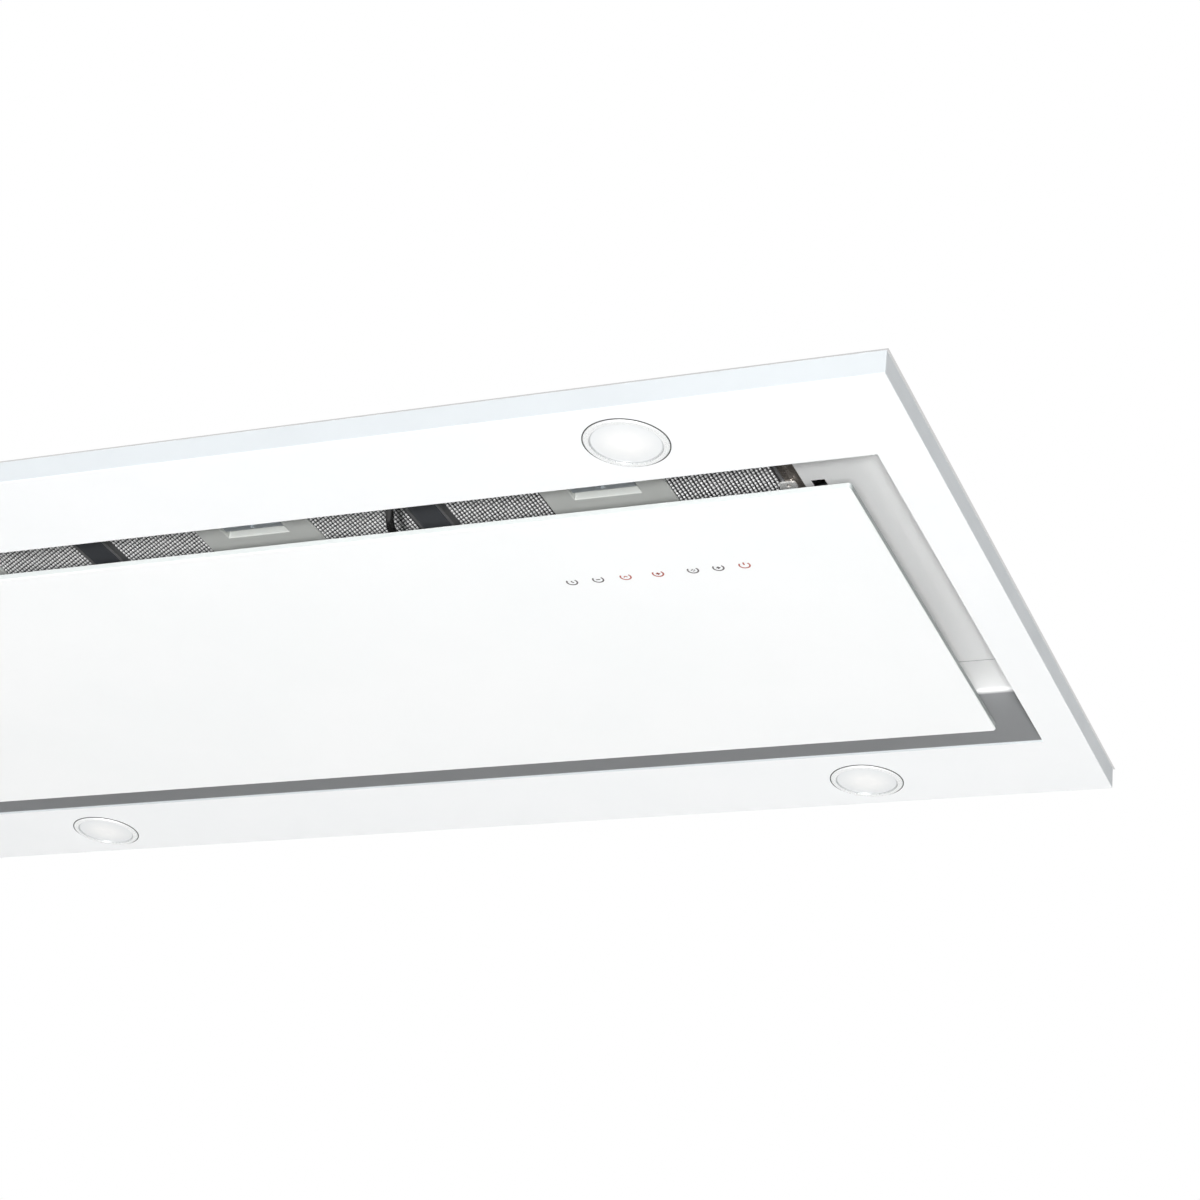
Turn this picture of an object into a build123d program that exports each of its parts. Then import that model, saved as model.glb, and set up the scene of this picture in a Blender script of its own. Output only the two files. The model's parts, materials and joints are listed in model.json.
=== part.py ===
from build123d import *

import os
from math import acos, cos, degrees, pi, radians, sin, tan

# Ceiling range hood with perimeter suction, in millimetres.
# The origin is the middle of the surround frame in the plane of the ceiling. +X runs along the long side,
# +Y away from the side with the touch controls, and +Z up into the ceiling.

os.makedirs("parts", exist_ok=True)

# ---------------------------------------------------------------- driving dimensions

# Surround frame: a folded sheet pan that lies against the ceiling
FRAME_LENGTH = 900
FRAME_WIDTH = 500
FRAME_DEPTH = 14
FRAME_SHEET = 1.5
FRAME_EDGE = 0.6
MARGIN_END = 27
MARGIN_SIDE = 74

# Recess tray: the walls above the cut-out and the ledge round the filters
RECESS_DEPTH = 39.6
TRAY_SHEET = 1
TRAY_BEND = 4
TRAY_FOOT = 10
SEAM_WIDTH = 0.5
SEAM_DEPTH = 0.4
FOOT_CLEARANCE = 0.3
LEDGE_END = 72
LEDGE_SIDE = 41
HOOK_SLOT_WIDTH = 8
HOOK_SLOT_LENGTH = 12
HOOK_SLOT_FROM_OPENING = 5
HOOK_SLOT_FROM_NEAR_EDGE = 45.5

# Housing above the ceiling
HOUSING_INSET_END = 16
HOUSING_INSET_SIDE = 12
HOUSING_SHEET = 1
HOUSING_FLANGE = 7
HOUSING_CORNER = 3
TOP_SKIRT = 16
LIP_CLEARANCE = 0.2
BEAD_DEPTH = 1.5
BEAD_WIDTH = 9
BEAD_FROM_FLANGE = 60
BEAD_FROM_TOP = 36
BEADS_ALONG = 6
BEADS_ACROSS = 3

# Centre panel: glass with a folded steel tray behind it
PANEL_GAP_END = 23
PANEL_GAP_SIDE = 26
PANEL_DROP = 3.2
GLASS_THICKNESS = 4
GLASS_CORNER = 2.5
PANEL_SHEET = 1
PANEL_TRAY_EDGE = 8
PANEL_TRAY_INSET_END = 12
PANEL_TRAY_INSET_SIDE = 22
LEAD_NOTCH_WIDTH = 18

# Panel hinges
HINGE_FROM_OPENING = 10.25
HINGE_FROM_PANEL_EDGE = 30
HINGE_ABOVE_PANEL = 6.2
HINGE_PIN_RADIUS = 2
HINGE_RUNNING_GAP = 0.05
HINGE_EYE_RADIUS = 4.2
HINGE_PLATE = 2.5
HINGE_CHEEK = 2
HINGE_SIDE_GAP = 0.4
HINGE_LUG_WIDTH = 11
HINGE_BASE = 1.5
HINGE_ARM_REACH = 38
HINGE_FOOT_LENGTH = 34
HINGE_FOOT_WIDTH = 13

# Magnet catches on the far side
CATCH_FROM_OPENING = 12
CATCH_FROM_PANEL_EDGE = 36
CATCH_LENGTH = 20
CATCH_WIDTH = 14
CATCH_GAP = 0.4
STRIKE_THICKNESS = 2
MAGNET_HEIGHT = 7

# Grease filters
FILTER_COUNT = 3
FILTER_DEPTH = 10
FILTER_SHEET = 1
FILTER_LIP = 1.8
FILTER_GAP = 0.5
MESH_GAP = 0.1
TONGUE_X = 62
TONGUE_WIDTH = 14
TONGUE_REACH = 5
TONGUE_THICKNESS = 1.2
DIVIDER_WIDTH = 18
END_RAIL_WIDTH = 9.75
RAIL_HEIGHT = 12
RAIL_SHEET = 1.2
RAIL_SOLE = 3.4
RAIL_STEP = 2
RAIL_LAP = 3.5

# Filter handles and latches
HANDLE_WIDTH = 78
HANDLE_LENGTH = 47.7
HANDLE_PLATE = 1.6
POCKET_WIDTH = 42
POCKET_DEPTH = 7.6
POCKET_FROM_NEAR_EDGE = 12.2
POCKET_WALL = 1.2
POCKET_RIM = 0.8
FINGER_SPACE = 7.4
LATCH_TRAVEL = 5.5
LATCH_BAR_WIDTH = 40
LATCH_BAR_LENGTH = 4.6
LATCH_BAR_HEIGHT = 5.4
LATCH_BOLT_WIDTH = 16
LATCH_BOLT_HEIGHT = 5
LATCH_BOLT_REACH = 5
LATCH_GAP = 0.35
LATCH_PIN_HOLE = 3
SPRING_RADIUS = 2.5
SPRING_WIRE = 0.8
SPRING_TURNS = 4
LATCH_NECK_RADIUS = 1.3

# Lamps
LAMP_FROM_END = 155.5
LAMP_TO_HOUSING = 1.5
BEZEL_LIP = 3.6
BEZEL_PROUD = 1.2
LENS_RADIUS = 20.4
LENS_CLEARANCE = 0.1
LENS_RECESS = 1
LENS_CROWN = 0.6
LAMP_SLEEVE = 1.1
LAMP_SLEEVE_HEIGHT = 7
LAMP_HOLE_GAP = 0.2
CAN_HEIGHT = 20
CAN_FINS = 5
FIN_THICKNESS = 1.4
FIN_HEIGHT = 6
CLIP_WIDTH = 8
CLIP_REACH = 7
CLIP_SHEET = 0.8

# Blower: a double-inlet wheel in a scroll
WHEEL_RADIUS = 66
WHEEL_HALF_WIDTH = 60
WHEEL_RING = 2
BLADE_DEPTH = 13
BLADE_COUNT = 30
BLADE_THICKNESS = 1.2
BLADE_LEAN = 38
HUB_RADIUS = 11
HUB_HALF_LENGTH = 10
SHAFT_RADIUS = 4
SHAFT_RUNNING_GAP = 0.05
SCROLL_STEP = 11
SCROLL_GAP = 8.5
SCROLL_SIDE_GAP = 10
SCROLL_WALL = 2
TONGUE_ANGLE = 60
MOUTH_RISE = 5
INLET_RADIUS = 56
INLET_THROAT = 49
INLET_FLANGE = 11
BLOWER_CLEARANCE = 10
TRANSITION_HEIGHT = 37
GUARD_RINGS = (15, 31)
GUARD_BAR = 2.4

# Motor, in the left inlet
MOTOR_RADIUS = 40
MOTOR_LENGTH = 88
MOTOR_NOSE = 22
MOTOR_BORE_DEPTH = 15
BRACKET_BAND = 3
BRACKET_WIDTH = 12

# Hangers and rubber mounts of the blower
HANGER_NEAR = -80
HANGER_FAR = 104
HANGER_LOW = 12
HANGER_CORNER = 16
HANGER_SHEET = 2
HANGER_FOOT = 26
HANGER_GAP = 1
MOUNT_RADIUS = 8
MOUNT_WAIST = 1.5
MOUNT_HEIGHT = 6

# Duct collar and non-return flaps
COLLAR_Y = 20
COLLAR_RADIUS = 74.5
COLLAR_WALL = 2.5
COLLAR_HEIGHT = 55
COLLAR_FLANGE_RADIUS = 92
COLLAR_FLANGE = 3
FLAP_STOP_HEIGHT = 11
FLAP_STOP_WIDTH = 4
FLAP_THICKNESS = 1.5
FLAP_EDGE_GAP = 1.5
FLAP_REST_GAP = 0.3
FLAP_FROM_PIN = 4
FLAP_PIN_RADIUS = 2
FLAP_KNUCKLE_RADIUS = 3.6
FLAP_KNUCKLE_LENGTH = 14
PIN_BOSS_LENGTH = 8
PIN_BOSS_WIDTH = 10

# Suspension brackets on the top
SUSPENSION_FROM_END = 44
SUSPENSION_FROM_SIDE = 48
SUSPENSION_SHEET = 2.5
SUSPENSION_WIDTH = 40
SUSPENSION_RISE = 28
SUSPENSION_TAB = 34
SUSPENSION_FOOT = 24
SLOT_WIDTH = 9
SLOT_LENGTH = 18
SCREW_RADIUS = 4.5
SCREW_HEIGHT = 3.5
SCREW_SPACING = 24

# Control box and lamp driver on the top
BOX_X = 215
BOX_Y = -150
BOX_LENGTH = 160
BOX_WIDTH = 100
BOX_HEIGHT = 38
BOX_WALL = 2
BOX_COVER = 3
BOARD_THICKNESS = 1.6
BOARD_STANDOFF = 6
CAPACITOR_RADIUS = 14
CAPACITOR_LENGTH = 60
TERMINAL_WAYS = 5
TERMINAL_PITCH = 8
TERMINAL_SLOT = 1.2
GLAND_BORE = 4
GLAND_RADIUS = 10
GLAND_LENGTH = 24
DRIVER_LENGTH = 120
DRIVER_WIDTH = 42
DRIVER_HEIGHT = 28

# Nuts on the welded studs
NUT_WIDTH = 5.5
NUT_HEIGHT = 2.8
NUT_INSET = 30

# Lead from the control box to the touch board: its points, chosen by hand along the real route
LEAD_DIAMETER = 5
LEAD_POINTS = [
    (180, -80, -9.2),
    (152, -80, -9.2),
    (129, -87, -9.0),
    (115.5, -107, -8.8),
    (113.2, -136, -8.2),
    (117.5, -153.5, 8),
    (119.8, -157.5, 31),
    (121.5, -160, 74),
    (132, -159, 138),
    (145, -157, 198),
    (150, -158, 257),
]
LEDGE_HOLE_X = 119.2
LEDGE_HOLE_FROM_CUTOUT = 19.4
TOP_HOLE_X = 149.4
TOP_HOLE_FROM_CUTOUT = 18.2
LEAD_HOLE_GAP = 0.6
GROMMET_WALL = 2
GROMMET_FLANGE = 2
GROMMET_THICKNESS = 1.5

# Touch board and the lead's plug behind the glass
TOUCH_FIRST_X = 204.4
TOUCH_LAST_X = 312
TOUCH_Y = -81.6
TOUCH_MARGIN = 11
TOUCH_WIDTH = 26
TOUCH_HEIGHT = 6
PLUG_WIDTH = 10
PLUG_HEIGHT = 6

# ---------------------------------------------------------------- sizes worked out from them

cutout_length = FRAME_LENGTH - 2 * MARGIN_END
cutout_width = FRAME_WIDTH - 2 * MARGIN_SIDE
panel_length = cutout_length - 2 * PANEL_GAP_END
panel_width = cutout_width - 2 * PANEL_GAP_SIDE
housing_length = FRAME_LENGTH - 2 * HOUSING_INSET_END
housing_width = FRAME_WIDTH - 2 * HOUSING_INSET_SIDE
opening_length = cutout_length - 2 * LEDGE_END
opening_width = cutout_width - 2 * LEDGE_SIDE

bay_space = opening_length - 2 * END_RAIL_WIDTH - (FILTER_COUNT - 1) * DIVIDER_WIDTH
filter_width = bay_space / FILTER_COUNT - 2 * FILTER_GAP
filter_length = opening_width - 2 * FILTER_GAP
filter_pitch = filter_width + 2 * FILTER_GAP + DIVIDER_WIDTH
filter_xs = [(n - (FILTER_COUNT - 1) / 2) * filter_pitch for n in range(FILTER_COUNT)]

sleeve_radius = LENS_RADIUS + LAMP_SLEEVE
bezel_radius = LENS_RADIUS + BEZEL_LIP
lamp_spacing_x = FRAME_LENGTH - 2 * LAMP_FROM_END
lamp_spacing_y = housing_width - 2 * (sleeve_radius + LAMP_TO_HOUSING)

# Places of the hinges, catches, slots, suspension brackets and lead holes
hinge_x = opening_length / 2 + HINGE_FROM_OPENING
hinge_y = -panel_width / 2 + HINGE_FROM_PANEL_EDGE
hinge_foot_near = hinge_y + HINGE_ARM_REACH
hinge_foot_far = hinge_foot_near + HINGE_FOOT_LENGTH
catch_x = opening_length / 2 + CATCH_FROM_OPENING
catch_y = panel_width / 2 - CATCH_FROM_PANEL_EDGE
hook_slot_y = -opening_width / 2 + HOOK_SLOT_FROM_NEAR_EDGE
suspension_x = housing_length / 2 - SUSPENSION_FROM_END
suspension_y = housing_width / 2 - SUSPENSION_FROM_SIDE
ledge_hole = (LEDGE_HOLE_X, -cutout_width / 2 + LEDGE_HOLE_FROM_CUTOUT)
top_hole = (TOP_HOLE_X, -cutout_width / 2 + TOP_HOLE_FROM_CUTOUT)

# Levels
face_z = -FRAME_DEPTH
back_z = face_z + FRAME_SHEET
ledge_z = face_z + RECESS_DEPTH
ledge_top_z = ledge_z + TRAY_SHEET
filter_top_z = ledge_z + FILTER_DEPTH
glass_z = face_z - PANEL_DROP
glass_top_z = glass_z + GLASS_THICKNESS
panel_floor_z = glass_top_z + PANEL_SHEET
hinge_z = panel_floor_z + HINGE_ABOVE_PANEL

# Scroll: four quarter arcs round the corners of a small square, each larger than the last by one step
half_step = SCROLL_STEP / 2
arc_radii = [WHEEL_RADIUS + SCROLL_GAP + half_step + (n - 1) * SCROLL_STEP for n in range(4)]
tongue_y = -half_step + arc_radii[0] * cos(radians(TONGUE_ANGLE))
tongue_z = half_step + arc_radii[0] * sin(radians(TONGUE_ANGLE))
outlet_far_y = half_step + arc_radii[3]
scroll_drop = arc_radii[2] + half_step
wheel_y = COLLAR_Y - (tongue_y + outlet_far_y) / 2
wheel_z = filter_top_z + BLOWER_CLEARANCE + scroll_drop + SCROLL_WALL
mouth_z = wheel_z + tongue_z + MOUTH_RISE
scroll_half = WHEEL_HALF_WIDTH + SCROLL_SIDE_GAP + SCROLL_WALL
arc_centres = [
    (wheel_y - half_step, wheel_z + half_step),
    (wheel_y - half_step, wheel_z - half_step),
    (wheel_y + half_step, wheel_z - half_step),
    (wheel_y + half_step, wheel_z + half_step),
]

under_top_z = mouth_z + TRANSITION_HEIGHT
top_z = under_top_z + HOUSING_SHEET
collar_bore = COLLAR_RADIUS - COLLAR_WALL
duct_hole_radius = collar_bore - SCROLL_WALL
flap_low_z = top_z + FLAP_STOP_HEIGHT + FLAP_REST_GAP
flap_pin_z = flap_low_z + FLAP_KNUCKLE_RADIUS
wheel_axis = Plane(origin=(0, wheel_y, wheel_z), x_dir=(0, 1, 0), z_dir=(1, 0, 0))


# ---------------------------------------------------------------- helpers


def save(piece, name):
    """Labels a finished piece and writes its file."""
    piece.part.label = name
    export_step(piece.part, f"parts/{name}.step")


def block(low, high, mode=Mode.ADD):
    """A box between two corners."""
    size = [b - a for a, b in zip(low, high)]
    middle = tuple((a + b) / 2 for a, b in zip(low, high))
    with Locations(middle):
        Box(*size, mode=mode)


def slab(z, height, length, width, mode=Mode.ADD):
    """A plate of the given length and width, centred on the origin, from z upwards."""
    with BuildSketch(Plane.XY.offset(z)) as outline:
        Rectangle(length, width)
    extrude(outline.sketch, amount=height, mode=mode)


def rim(z, height, outer, inner, mode=Mode.ADD):
    """A rectangular ring from z upwards, given its outer and inner (length, width)."""
    with BuildSketch(Plane.XY.offset(z)) as outline:
        Rectangle(*outer)
        Rectangle(*inner, mode=Mode.SUBTRACT)
    extrude(outline.sketch, amount=height, mode=mode)


def grown(size, by):
    """A (length, width) grown by the same amount on every side."""
    return tuple(value + 2 * by for value in size)


def across_x(x):
    """A plane square to X through the wheel's axis height, looking along +X."""
    return Plane(origin=(x, 0, 0), x_dir=(0, 1, 0), z_dir=(1, 0, 0))


def scroll_outline(grow):
    """The scroll's closed outline in the YZ plane, its walls moved outwards by grow."""
    near_y = wheel_y + tongue_y - grow
    far_y = wheel_y + outlet_far_y + grow
    start = degrees(acos((near_y - arc_centres[0][0]) / (arc_radii[0] + grow)))
    sweeps = [(start, 90 - start), (90, 90), (180, 90), (270, 90)]
    with BuildSketch(across_x(0)) as outline:
        with BuildLine():
            for centre, radius, (first, turn) in zip(arc_centres, arc_radii, sweeps):
                CenterArc(centre, radius + grow, first, turn)
            tongue = (near_y, arc_centres[0][1] + (arc_radii[0] + grow) * sin(radians(start)))
            Polyline((far_y, arc_centres[3][1]), (far_y, mouth_z), (near_y, mouth_z), tongue)
        make_face()
    return outline.sketch


# ---------------------------------------------------------------- surround frame and recess

cutout = (cutout_length, cutout_width)
opening = (opening_length, opening_width)
housing = (housing_length, housing_width)

with BuildPart() as surround_frame:
    slab(face_z, FRAME_DEPTH, FRAME_LENGTH, FRAME_WIDTH)
    fillet(surround_frame.edges().filter_by(Axis.Z), FRAME_EDGE)
    fillet(surround_frame.faces().sort_by(Axis.Z)[0].edges(), FRAME_EDGE)
    inside = grown((FRAME_LENGTH, FRAME_WIDTH), -FRAME_SHEET)
    slab(back_z, FRAME_DEPTH - 2 * FRAME_SHEET, *inside, mode=Mode.SUBTRACT)
    # The rim turns back over itself, and leaves room for the housing's flange to pass
    passage = grown(housing, HOUSING_FLANGE + LIP_CLEARANCE)
    slab(-FRAME_SHEET, FRAME_SHEET, *passage, mode=Mode.SUBTRACT)
    slab(face_z, FRAME_SHEET, *cutout, mode=Mode.SUBTRACT)
    with BuildSketch(Plane.XY.offset(face_z)):
        with GridLocations(lamp_spacing_x, lamp_spacing_y, 2, 2):
            Circle(sleeve_radius + LAMP_HOLE_GAP)
    extrude(amount=FRAME_SHEET, mode=Mode.SUBTRACT)
save(surround_frame, "surround_frame")

grommet_radius = LEAD_DIAMETER / 2 + LEAD_HOLE_GAP + GROMMET_WALL
hook_slot_x = opening_length / 2 + HOOK_SLOT_FROM_OPENING + HOOK_SLOT_WIDTH / 2

tray_foot_length = housing_length - 2 * (HOUSING_SHEET + FOOT_CLEARANCE)
tray_foot = (tray_foot_length, cutout_width + 2 * (TRAY_SHEET + TRAY_FOOT))

with BuildPart() as tray_hollow:
    slab(back_z, ledge_z - back_z, *cutout)
    fillet(tray_hollow.faces().sort_by(Axis.Z)[-1].edges(), TRAY_BEND)

with BuildPart() as recess_tray:
    slab(back_z, ledge_top_z - back_z, *grown(cutout, TRAY_SHEET))
    fillet(recess_tray.faces().sort_by(Axis.Z)[-1].edges(), TRAY_BEND + TRAY_SHEET)
    add(tray_hollow.part, mode=Mode.SUBTRACT)
    slab(ledge_z, TRAY_SHEET, *opening, mode=Mode.SUBTRACT)
    rim(back_z, TRAY_SHEET, tray_foot, cutout)
    with BuildSketch(Plane.XY.offset(ledge_z)):
        with Locations((-hook_slot_x, hook_slot_y), (hook_slot_x, hook_slot_y)):
            Rectangle(HOOK_SLOT_WIDTH, HOOK_SLOT_LENGTH)
        with Locations(ledge_hole):
            Circle(grommet_radius)
    extrude(amount=TRAY_SHEET, mode=Mode.SUBTRACT)
    # The lapped seams between the end and side pieces of the ledge
    seam_length = LEDGE_END - TRAY_BEND
    with BuildSketch(Plane.XY.offset(ledge_z)):
        with GridLocations(opening_length + seam_length, opening_width - SEAM_WIDTH, 2, 2):
            Rectangle(seam_length, SEAM_WIDTH)
    extrude(amount=SEAM_DEPTH, mode=Mode.SUBTRACT)
save(recess_tray, "recess_tray")

# ---------------------------------------------------------------- housing

bead_low_z = back_z + BEAD_FROM_FLANGE
bead_length = under_top_z - BEAD_FROM_TOP - bead_low_z


def wall_beads(depth, width, length, mode):
    """Upright beads pressed into the four walls, each a block from the wall's outside inwards."""
    with BuildSketch(Plane.XY.offset(bead_low_z + (bead_length - length) / 2)) as outline:
        with GridLocations(housing_length / BEADS_ALONG, housing_width - depth, BEADS_ALONG, 2):
            Rectangle(width, depth)
        with GridLocations(housing_length - depth, housing_width / BEADS_ACROSS, 2, BEADS_ACROSS):
            Rectangle(depth, width)
    extrude(outline.sketch, amount=length, mode=mode)


with BuildPart() as housing_body:
    slab(back_z, under_top_z - back_z, *housing)
    fillet(housing_body.edges().filter_by(Axis.Z), HOUSING_CORNER)
    slab(back_z, under_top_z - back_z, *grown(housing, -HOUSING_SHEET), mode=Mode.SUBTRACT)
    rim(back_z, HOUSING_SHEET, grown(housing, HOUSING_FLANGE), grown(housing, -HOUSING_SHEET))
    back = 2 * HOUSING_SHEET
    wall_beads(BEAD_DEPTH + HOUSING_SHEET, BEAD_WIDTH + back, bead_length + back, Mode.ADD)
    wall_beads(BEAD_DEPTH, BEAD_WIDTH, bead_length, Mode.SUBTRACT)
save(housing_body, "housing_body")

with BuildPart() as housing_top:
    slab(under_top_z, HOUSING_SHEET, *housing)
    fillet(housing_top.edges().filter_by(Axis.Z), HOUSING_CORNER)
    skirt = grown(housing, -HOUSING_SHEET)
    rim(under_top_z - TOP_SKIRT, TOP_SKIRT, skirt, grown(skirt, -HOUSING_SHEET))
    with BuildSketch(Plane.XY.offset(under_top_z)):
        with Locations((0, COLLAR_Y)):
            Circle(duct_hole_radius)
        with Locations(top_hole):
            Circle(grommet_radius)
    extrude(amount=HOUSING_SHEET, mode=Mode.SUBTRACT)
save(housing_top, "housing_top")

# ---------------------------------------------------------------- bars round the filters

with BuildPart() as filter_dividers:
    bar_xs = [(a + b) / 2 for a, b in zip(filter_xs, filter_xs[1:])]
    for bar_x in bar_xs:
        with BuildSketch(Plane.XZ.offset(-opening_width / 2)):
            with Locations((bar_x, ledge_z + RAIL_HEIGHT / 2)):
                Rectangle(DIVIDER_WIDTH, RAIL_HEIGHT)
            with Locations((bar_x, ledge_z + (RAIL_HEIGHT + RAIL_SHEET) / 2)):
                Rectangle(DIVIDER_WIDTH - 2 * RAIL_SHEET, RAIL_HEIGHT - RAIL_SHEET, mode=Mode.SUBTRACT)
        extrude(amount=opening_width)
save(filter_dividers, "filter_dividers")

rail_inner_x = opening_length / 2 - END_RAIL_WIDTH
with BuildPart() as end_rails:
    with BuildSketch(Plane.XZ.offset(-opening_width / 2)):
        with BuildLine():
            # An upright, a narrow sole, a step, and a flange that laps over the ledge
            Polyline(
                (rail_inner_x, ledge_z + RAIL_HEIGHT),
                (rail_inner_x, ledge_z),
                (rail_inner_x + RAIL_SOLE, ledge_z),
                (rail_inner_x + RAIL_SOLE + RAIL_STEP, ledge_top_z),
                (opening_length / 2 + RAIL_LAP, ledge_top_z),
                (opening_length / 2 + RAIL_LAP, ledge_top_z + RAIL_SHEET),
                (rail_inner_x + RAIL_SOLE + RAIL_STEP - RAIL_SHEET / 3, ledge_top_z + RAIL_SHEET),
                (rail_inner_x + RAIL_SOLE - RAIL_SHEET / 3, ledge_z + RAIL_SHEET),
                (rail_inner_x + RAIL_SHEET, ledge_z + RAIL_SHEET),
                (rail_inner_x + RAIL_SHEET, ledge_z + RAIL_HEIGHT),
                close=True,
            )
        make_face()
    extrude(amount=opening_width)
    mirror(about=Plane.YZ)
save(end_rails, "end_rails")

# ---------------------------------------------------------------- grease filters

near_edge_y = -filter_length / 2
handle_near_y = near_edge_y + FILTER_LIP
handle_far_y = handle_near_y + HANDLE_LENGTH
pocket_near_y = handle_near_y + POCKET_FROM_NEAR_EDGE
pocket_length = FINGER_SPACE + LATCH_BAR_LENGTH + LATCH_TRAVEL + LATCH_GAP
pocket_far_y = pocket_near_y + pocket_length
pocket_roof_z = ledge_z + POCKET_DEPTH
bolt_low_z = ledge_top_z + LATCH_GAP
bolt_high_z = bolt_low_z + LATCH_BOLT_HEIGHT
bar_low_z = ledge_z + LATCH_GAP + 0.6
bar_near_y = pocket_near_y + FINGER_SPACE
bolt_tip_y = near_edge_y - FILTER_GAP - LATCH_BOLT_REACH
spring_length = SPRING_TURNS * SPRING_WIRE
spring_near_y = pocket_near_y - POCKET_WALL - spring_length
bolt_back_y = spring_near_y - LATCH_TRAVEL - LATCH_GAP
neck_z = (bolt_low_z + bolt_high_z) / 2


def neck_plane(x, y):
    """The plane square to one latch's neck, looking towards the near side."""
    return Plane(origin=(x, y, neck_z), x_dir=(1, 0, 0), z_dir=(0, -1, 0))


def filter_frame(x):
    """The folded channel round one filter: a window for the bolt, and two tongues on the far ledge."""
    outer = (filter_width, filter_length)
    with BuildPart(Plane.XY.offset(ledge_z)) as piece:
        with Locations((x, 0)):
            lift = (Align.CENTER, Align.CENTER, Align.MIN)
            Box(*outer, FILTER_DEPTH, align=lift)
            with Locations((0, 0, FILTER_SHEET)):
                cavity = grown(outer, -FILTER_SHEET)
                Box(*cavity, FILTER_DEPTH - 2 * FILTER_SHEET, align=lift, mode=Mode.SUBTRACT)
            Box(*grown(outer, -FILTER_LIP), FILTER_DEPTH, align=lift, mode=Mode.SUBTRACT)
        window = LATCH_BOLT_WIDTH / 2 + LATCH_GAP
        low = (x - window, near_edge_y, ledge_top_z - ledge_z)
        high = (x + window, near_edge_y + FILTER_SHEET, bolt_high_z + LATCH_GAP - ledge_z)
        block(low, high, mode=Mode.SUBTRACT)
        for tongue_x in (x - TONGUE_X, x + TONGUE_X):
            low = (tongue_x - TONGUE_WIDTH / 2, filter_length / 2 - FILTER_SHEET, TRAY_SHEET)
            tip = opening_width / 2 + TONGUE_REACH
            high = (tongue_x + TONGUE_WIDTH / 2, tip, TRAY_SHEET + TONGUE_THICKNESS)
            block(low, high)
    return piece


def filter_mesh(x):
    """The pack of crimped mesh layers, cut away round the handle."""
    cavity = grown((filter_width, filter_length), -FILTER_SHEET - MESH_GAP)
    low_z = ledge_z + FILTER_SHEET + MESH_GAP
    height = FILTER_DEPTH - 2 * (FILTER_SHEET + MESH_GAP)
    with BuildPart(Plane.XY.offset(low_z)) as piece:
        with Locations((x, 0)):
            Box(*cavity, height, align=(Align.CENTER, Align.CENTER, Align.MIN))
        half = HANDLE_WIDTH / 2 + MESH_GAP
        low = (x - half, near_edge_y, 0)
        high = (x + half, handle_far_y + MESH_GAP, height)
        block(low, high, mode=Mode.SUBTRACT)
    return piece


def filter_handle(x):
    """The handle plate with its finger pocket, and the slide that guides the latch."""
    half = HANDLE_WIDTH / 2
    pocket_half = POCKET_WIDTH / 2
    roof = pocket_roof_z + POCKET_WALL
    with BuildPart() as piece:
        block((x - half, handle_near_y, ledge_z), (x + half, handle_far_y, ledge_z + HANDLE_PLATE))
        block(
            (x - pocket_half - POCKET_WALL, pocket_near_y - POCKET_WALL, ledge_z),
            (x + pocket_half + POCKET_WALL, pocket_far_y + POCKET_WALL, roof),
        )
        # The pocket, with a rounded rim that leads the finger in
        low = (x - pocket_half, pocket_near_y, ledge_z)
        high = (x + pocket_half, pocket_far_y, pocket_roof_z)
        block(low, high, mode=Mode.SUBTRACT)
        fillet(piece.faces().sort_by(Axis.Z)[0].inner_wires()[0].edges(), POCKET_RIM)
        # The hole for the latch's neck through the near wall
        with BuildSketch(neck_plane(x, pocket_near_y)):
            Circle(LATCH_NECK_RADIUS + LATCH_GAP)
        extrude(amount=POCKET_WALL, mode=Mode.SUBTRACT)
        # The bolt's runway, where the plate is thinner
        runway = LATCH_BOLT_WIDTH / 2 + LATCH_GAP
        low = (x - runway, handle_near_y, ledge_top_z)
        high = (x + runway, pocket_near_y - POCKET_WALL, ledge_z + HANDLE_PLATE)
        block(low, high, mode=Mode.SUBTRACT)
    return piece


def filter_latch(x):
    """The sliding latch: the finger bar across the pocket, its neck, and the bolt over the ledge."""
    bar = LATCH_BAR_WIDTH / 2
    bolt = LATCH_BOLT_WIDTH / 2
    with BuildPart() as piece:
        bar_high = (x + bar, bar_near_y + LATCH_BAR_LENGTH, bar_low_z + LATCH_BAR_HEIGHT)
        block((x - bar, bar_near_y, bar_low_z), bar_high)
        fillet(piece.edges().filter_by(Axis.X).group_by(Axis.Z)[0], LATCH_GAP)
        with BuildSketch(neck_plane(x, bar_near_y)):
            Circle(LATCH_NECK_RADIUS)
        extrude(amount=bar_near_y - bolt_back_y)
        block((x - bolt, bolt_tip_y, bolt_low_z), (x + bolt, bolt_back_y, bolt_high_z))
        # The nose is sloped, so that a filter pushed up springs past the ledge
        nose = piece.faces().sort_by(Axis.Y)[0].edges().filter_by(Axis.X).sort_by(Axis.Z)[-1]
        chamfer(nose, LATCH_BOLT_HEIGHT * 0.5)
        hole = LATCH_PIN_HOLE / 2
        low = (x - hole, bar_near_y, bar_low_z)
        high = (x + hole, bar_near_y + LATCH_PIN_HOLE, neck_z - LATCH_NECK_RADIUS)
        block(low, high, mode=Mode.SUBTRACT)
    return piece


for number, x in enumerate(filter_xs, start=1):
    save(filter_frame(x), f"filter_frame_{number}")
    save(filter_mesh(x), f"filter_mesh_{number}")
    save(filter_handle(x), f"filter_handle_{number}")
    save(filter_latch(x), f"filter_latch_{number}")

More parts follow.
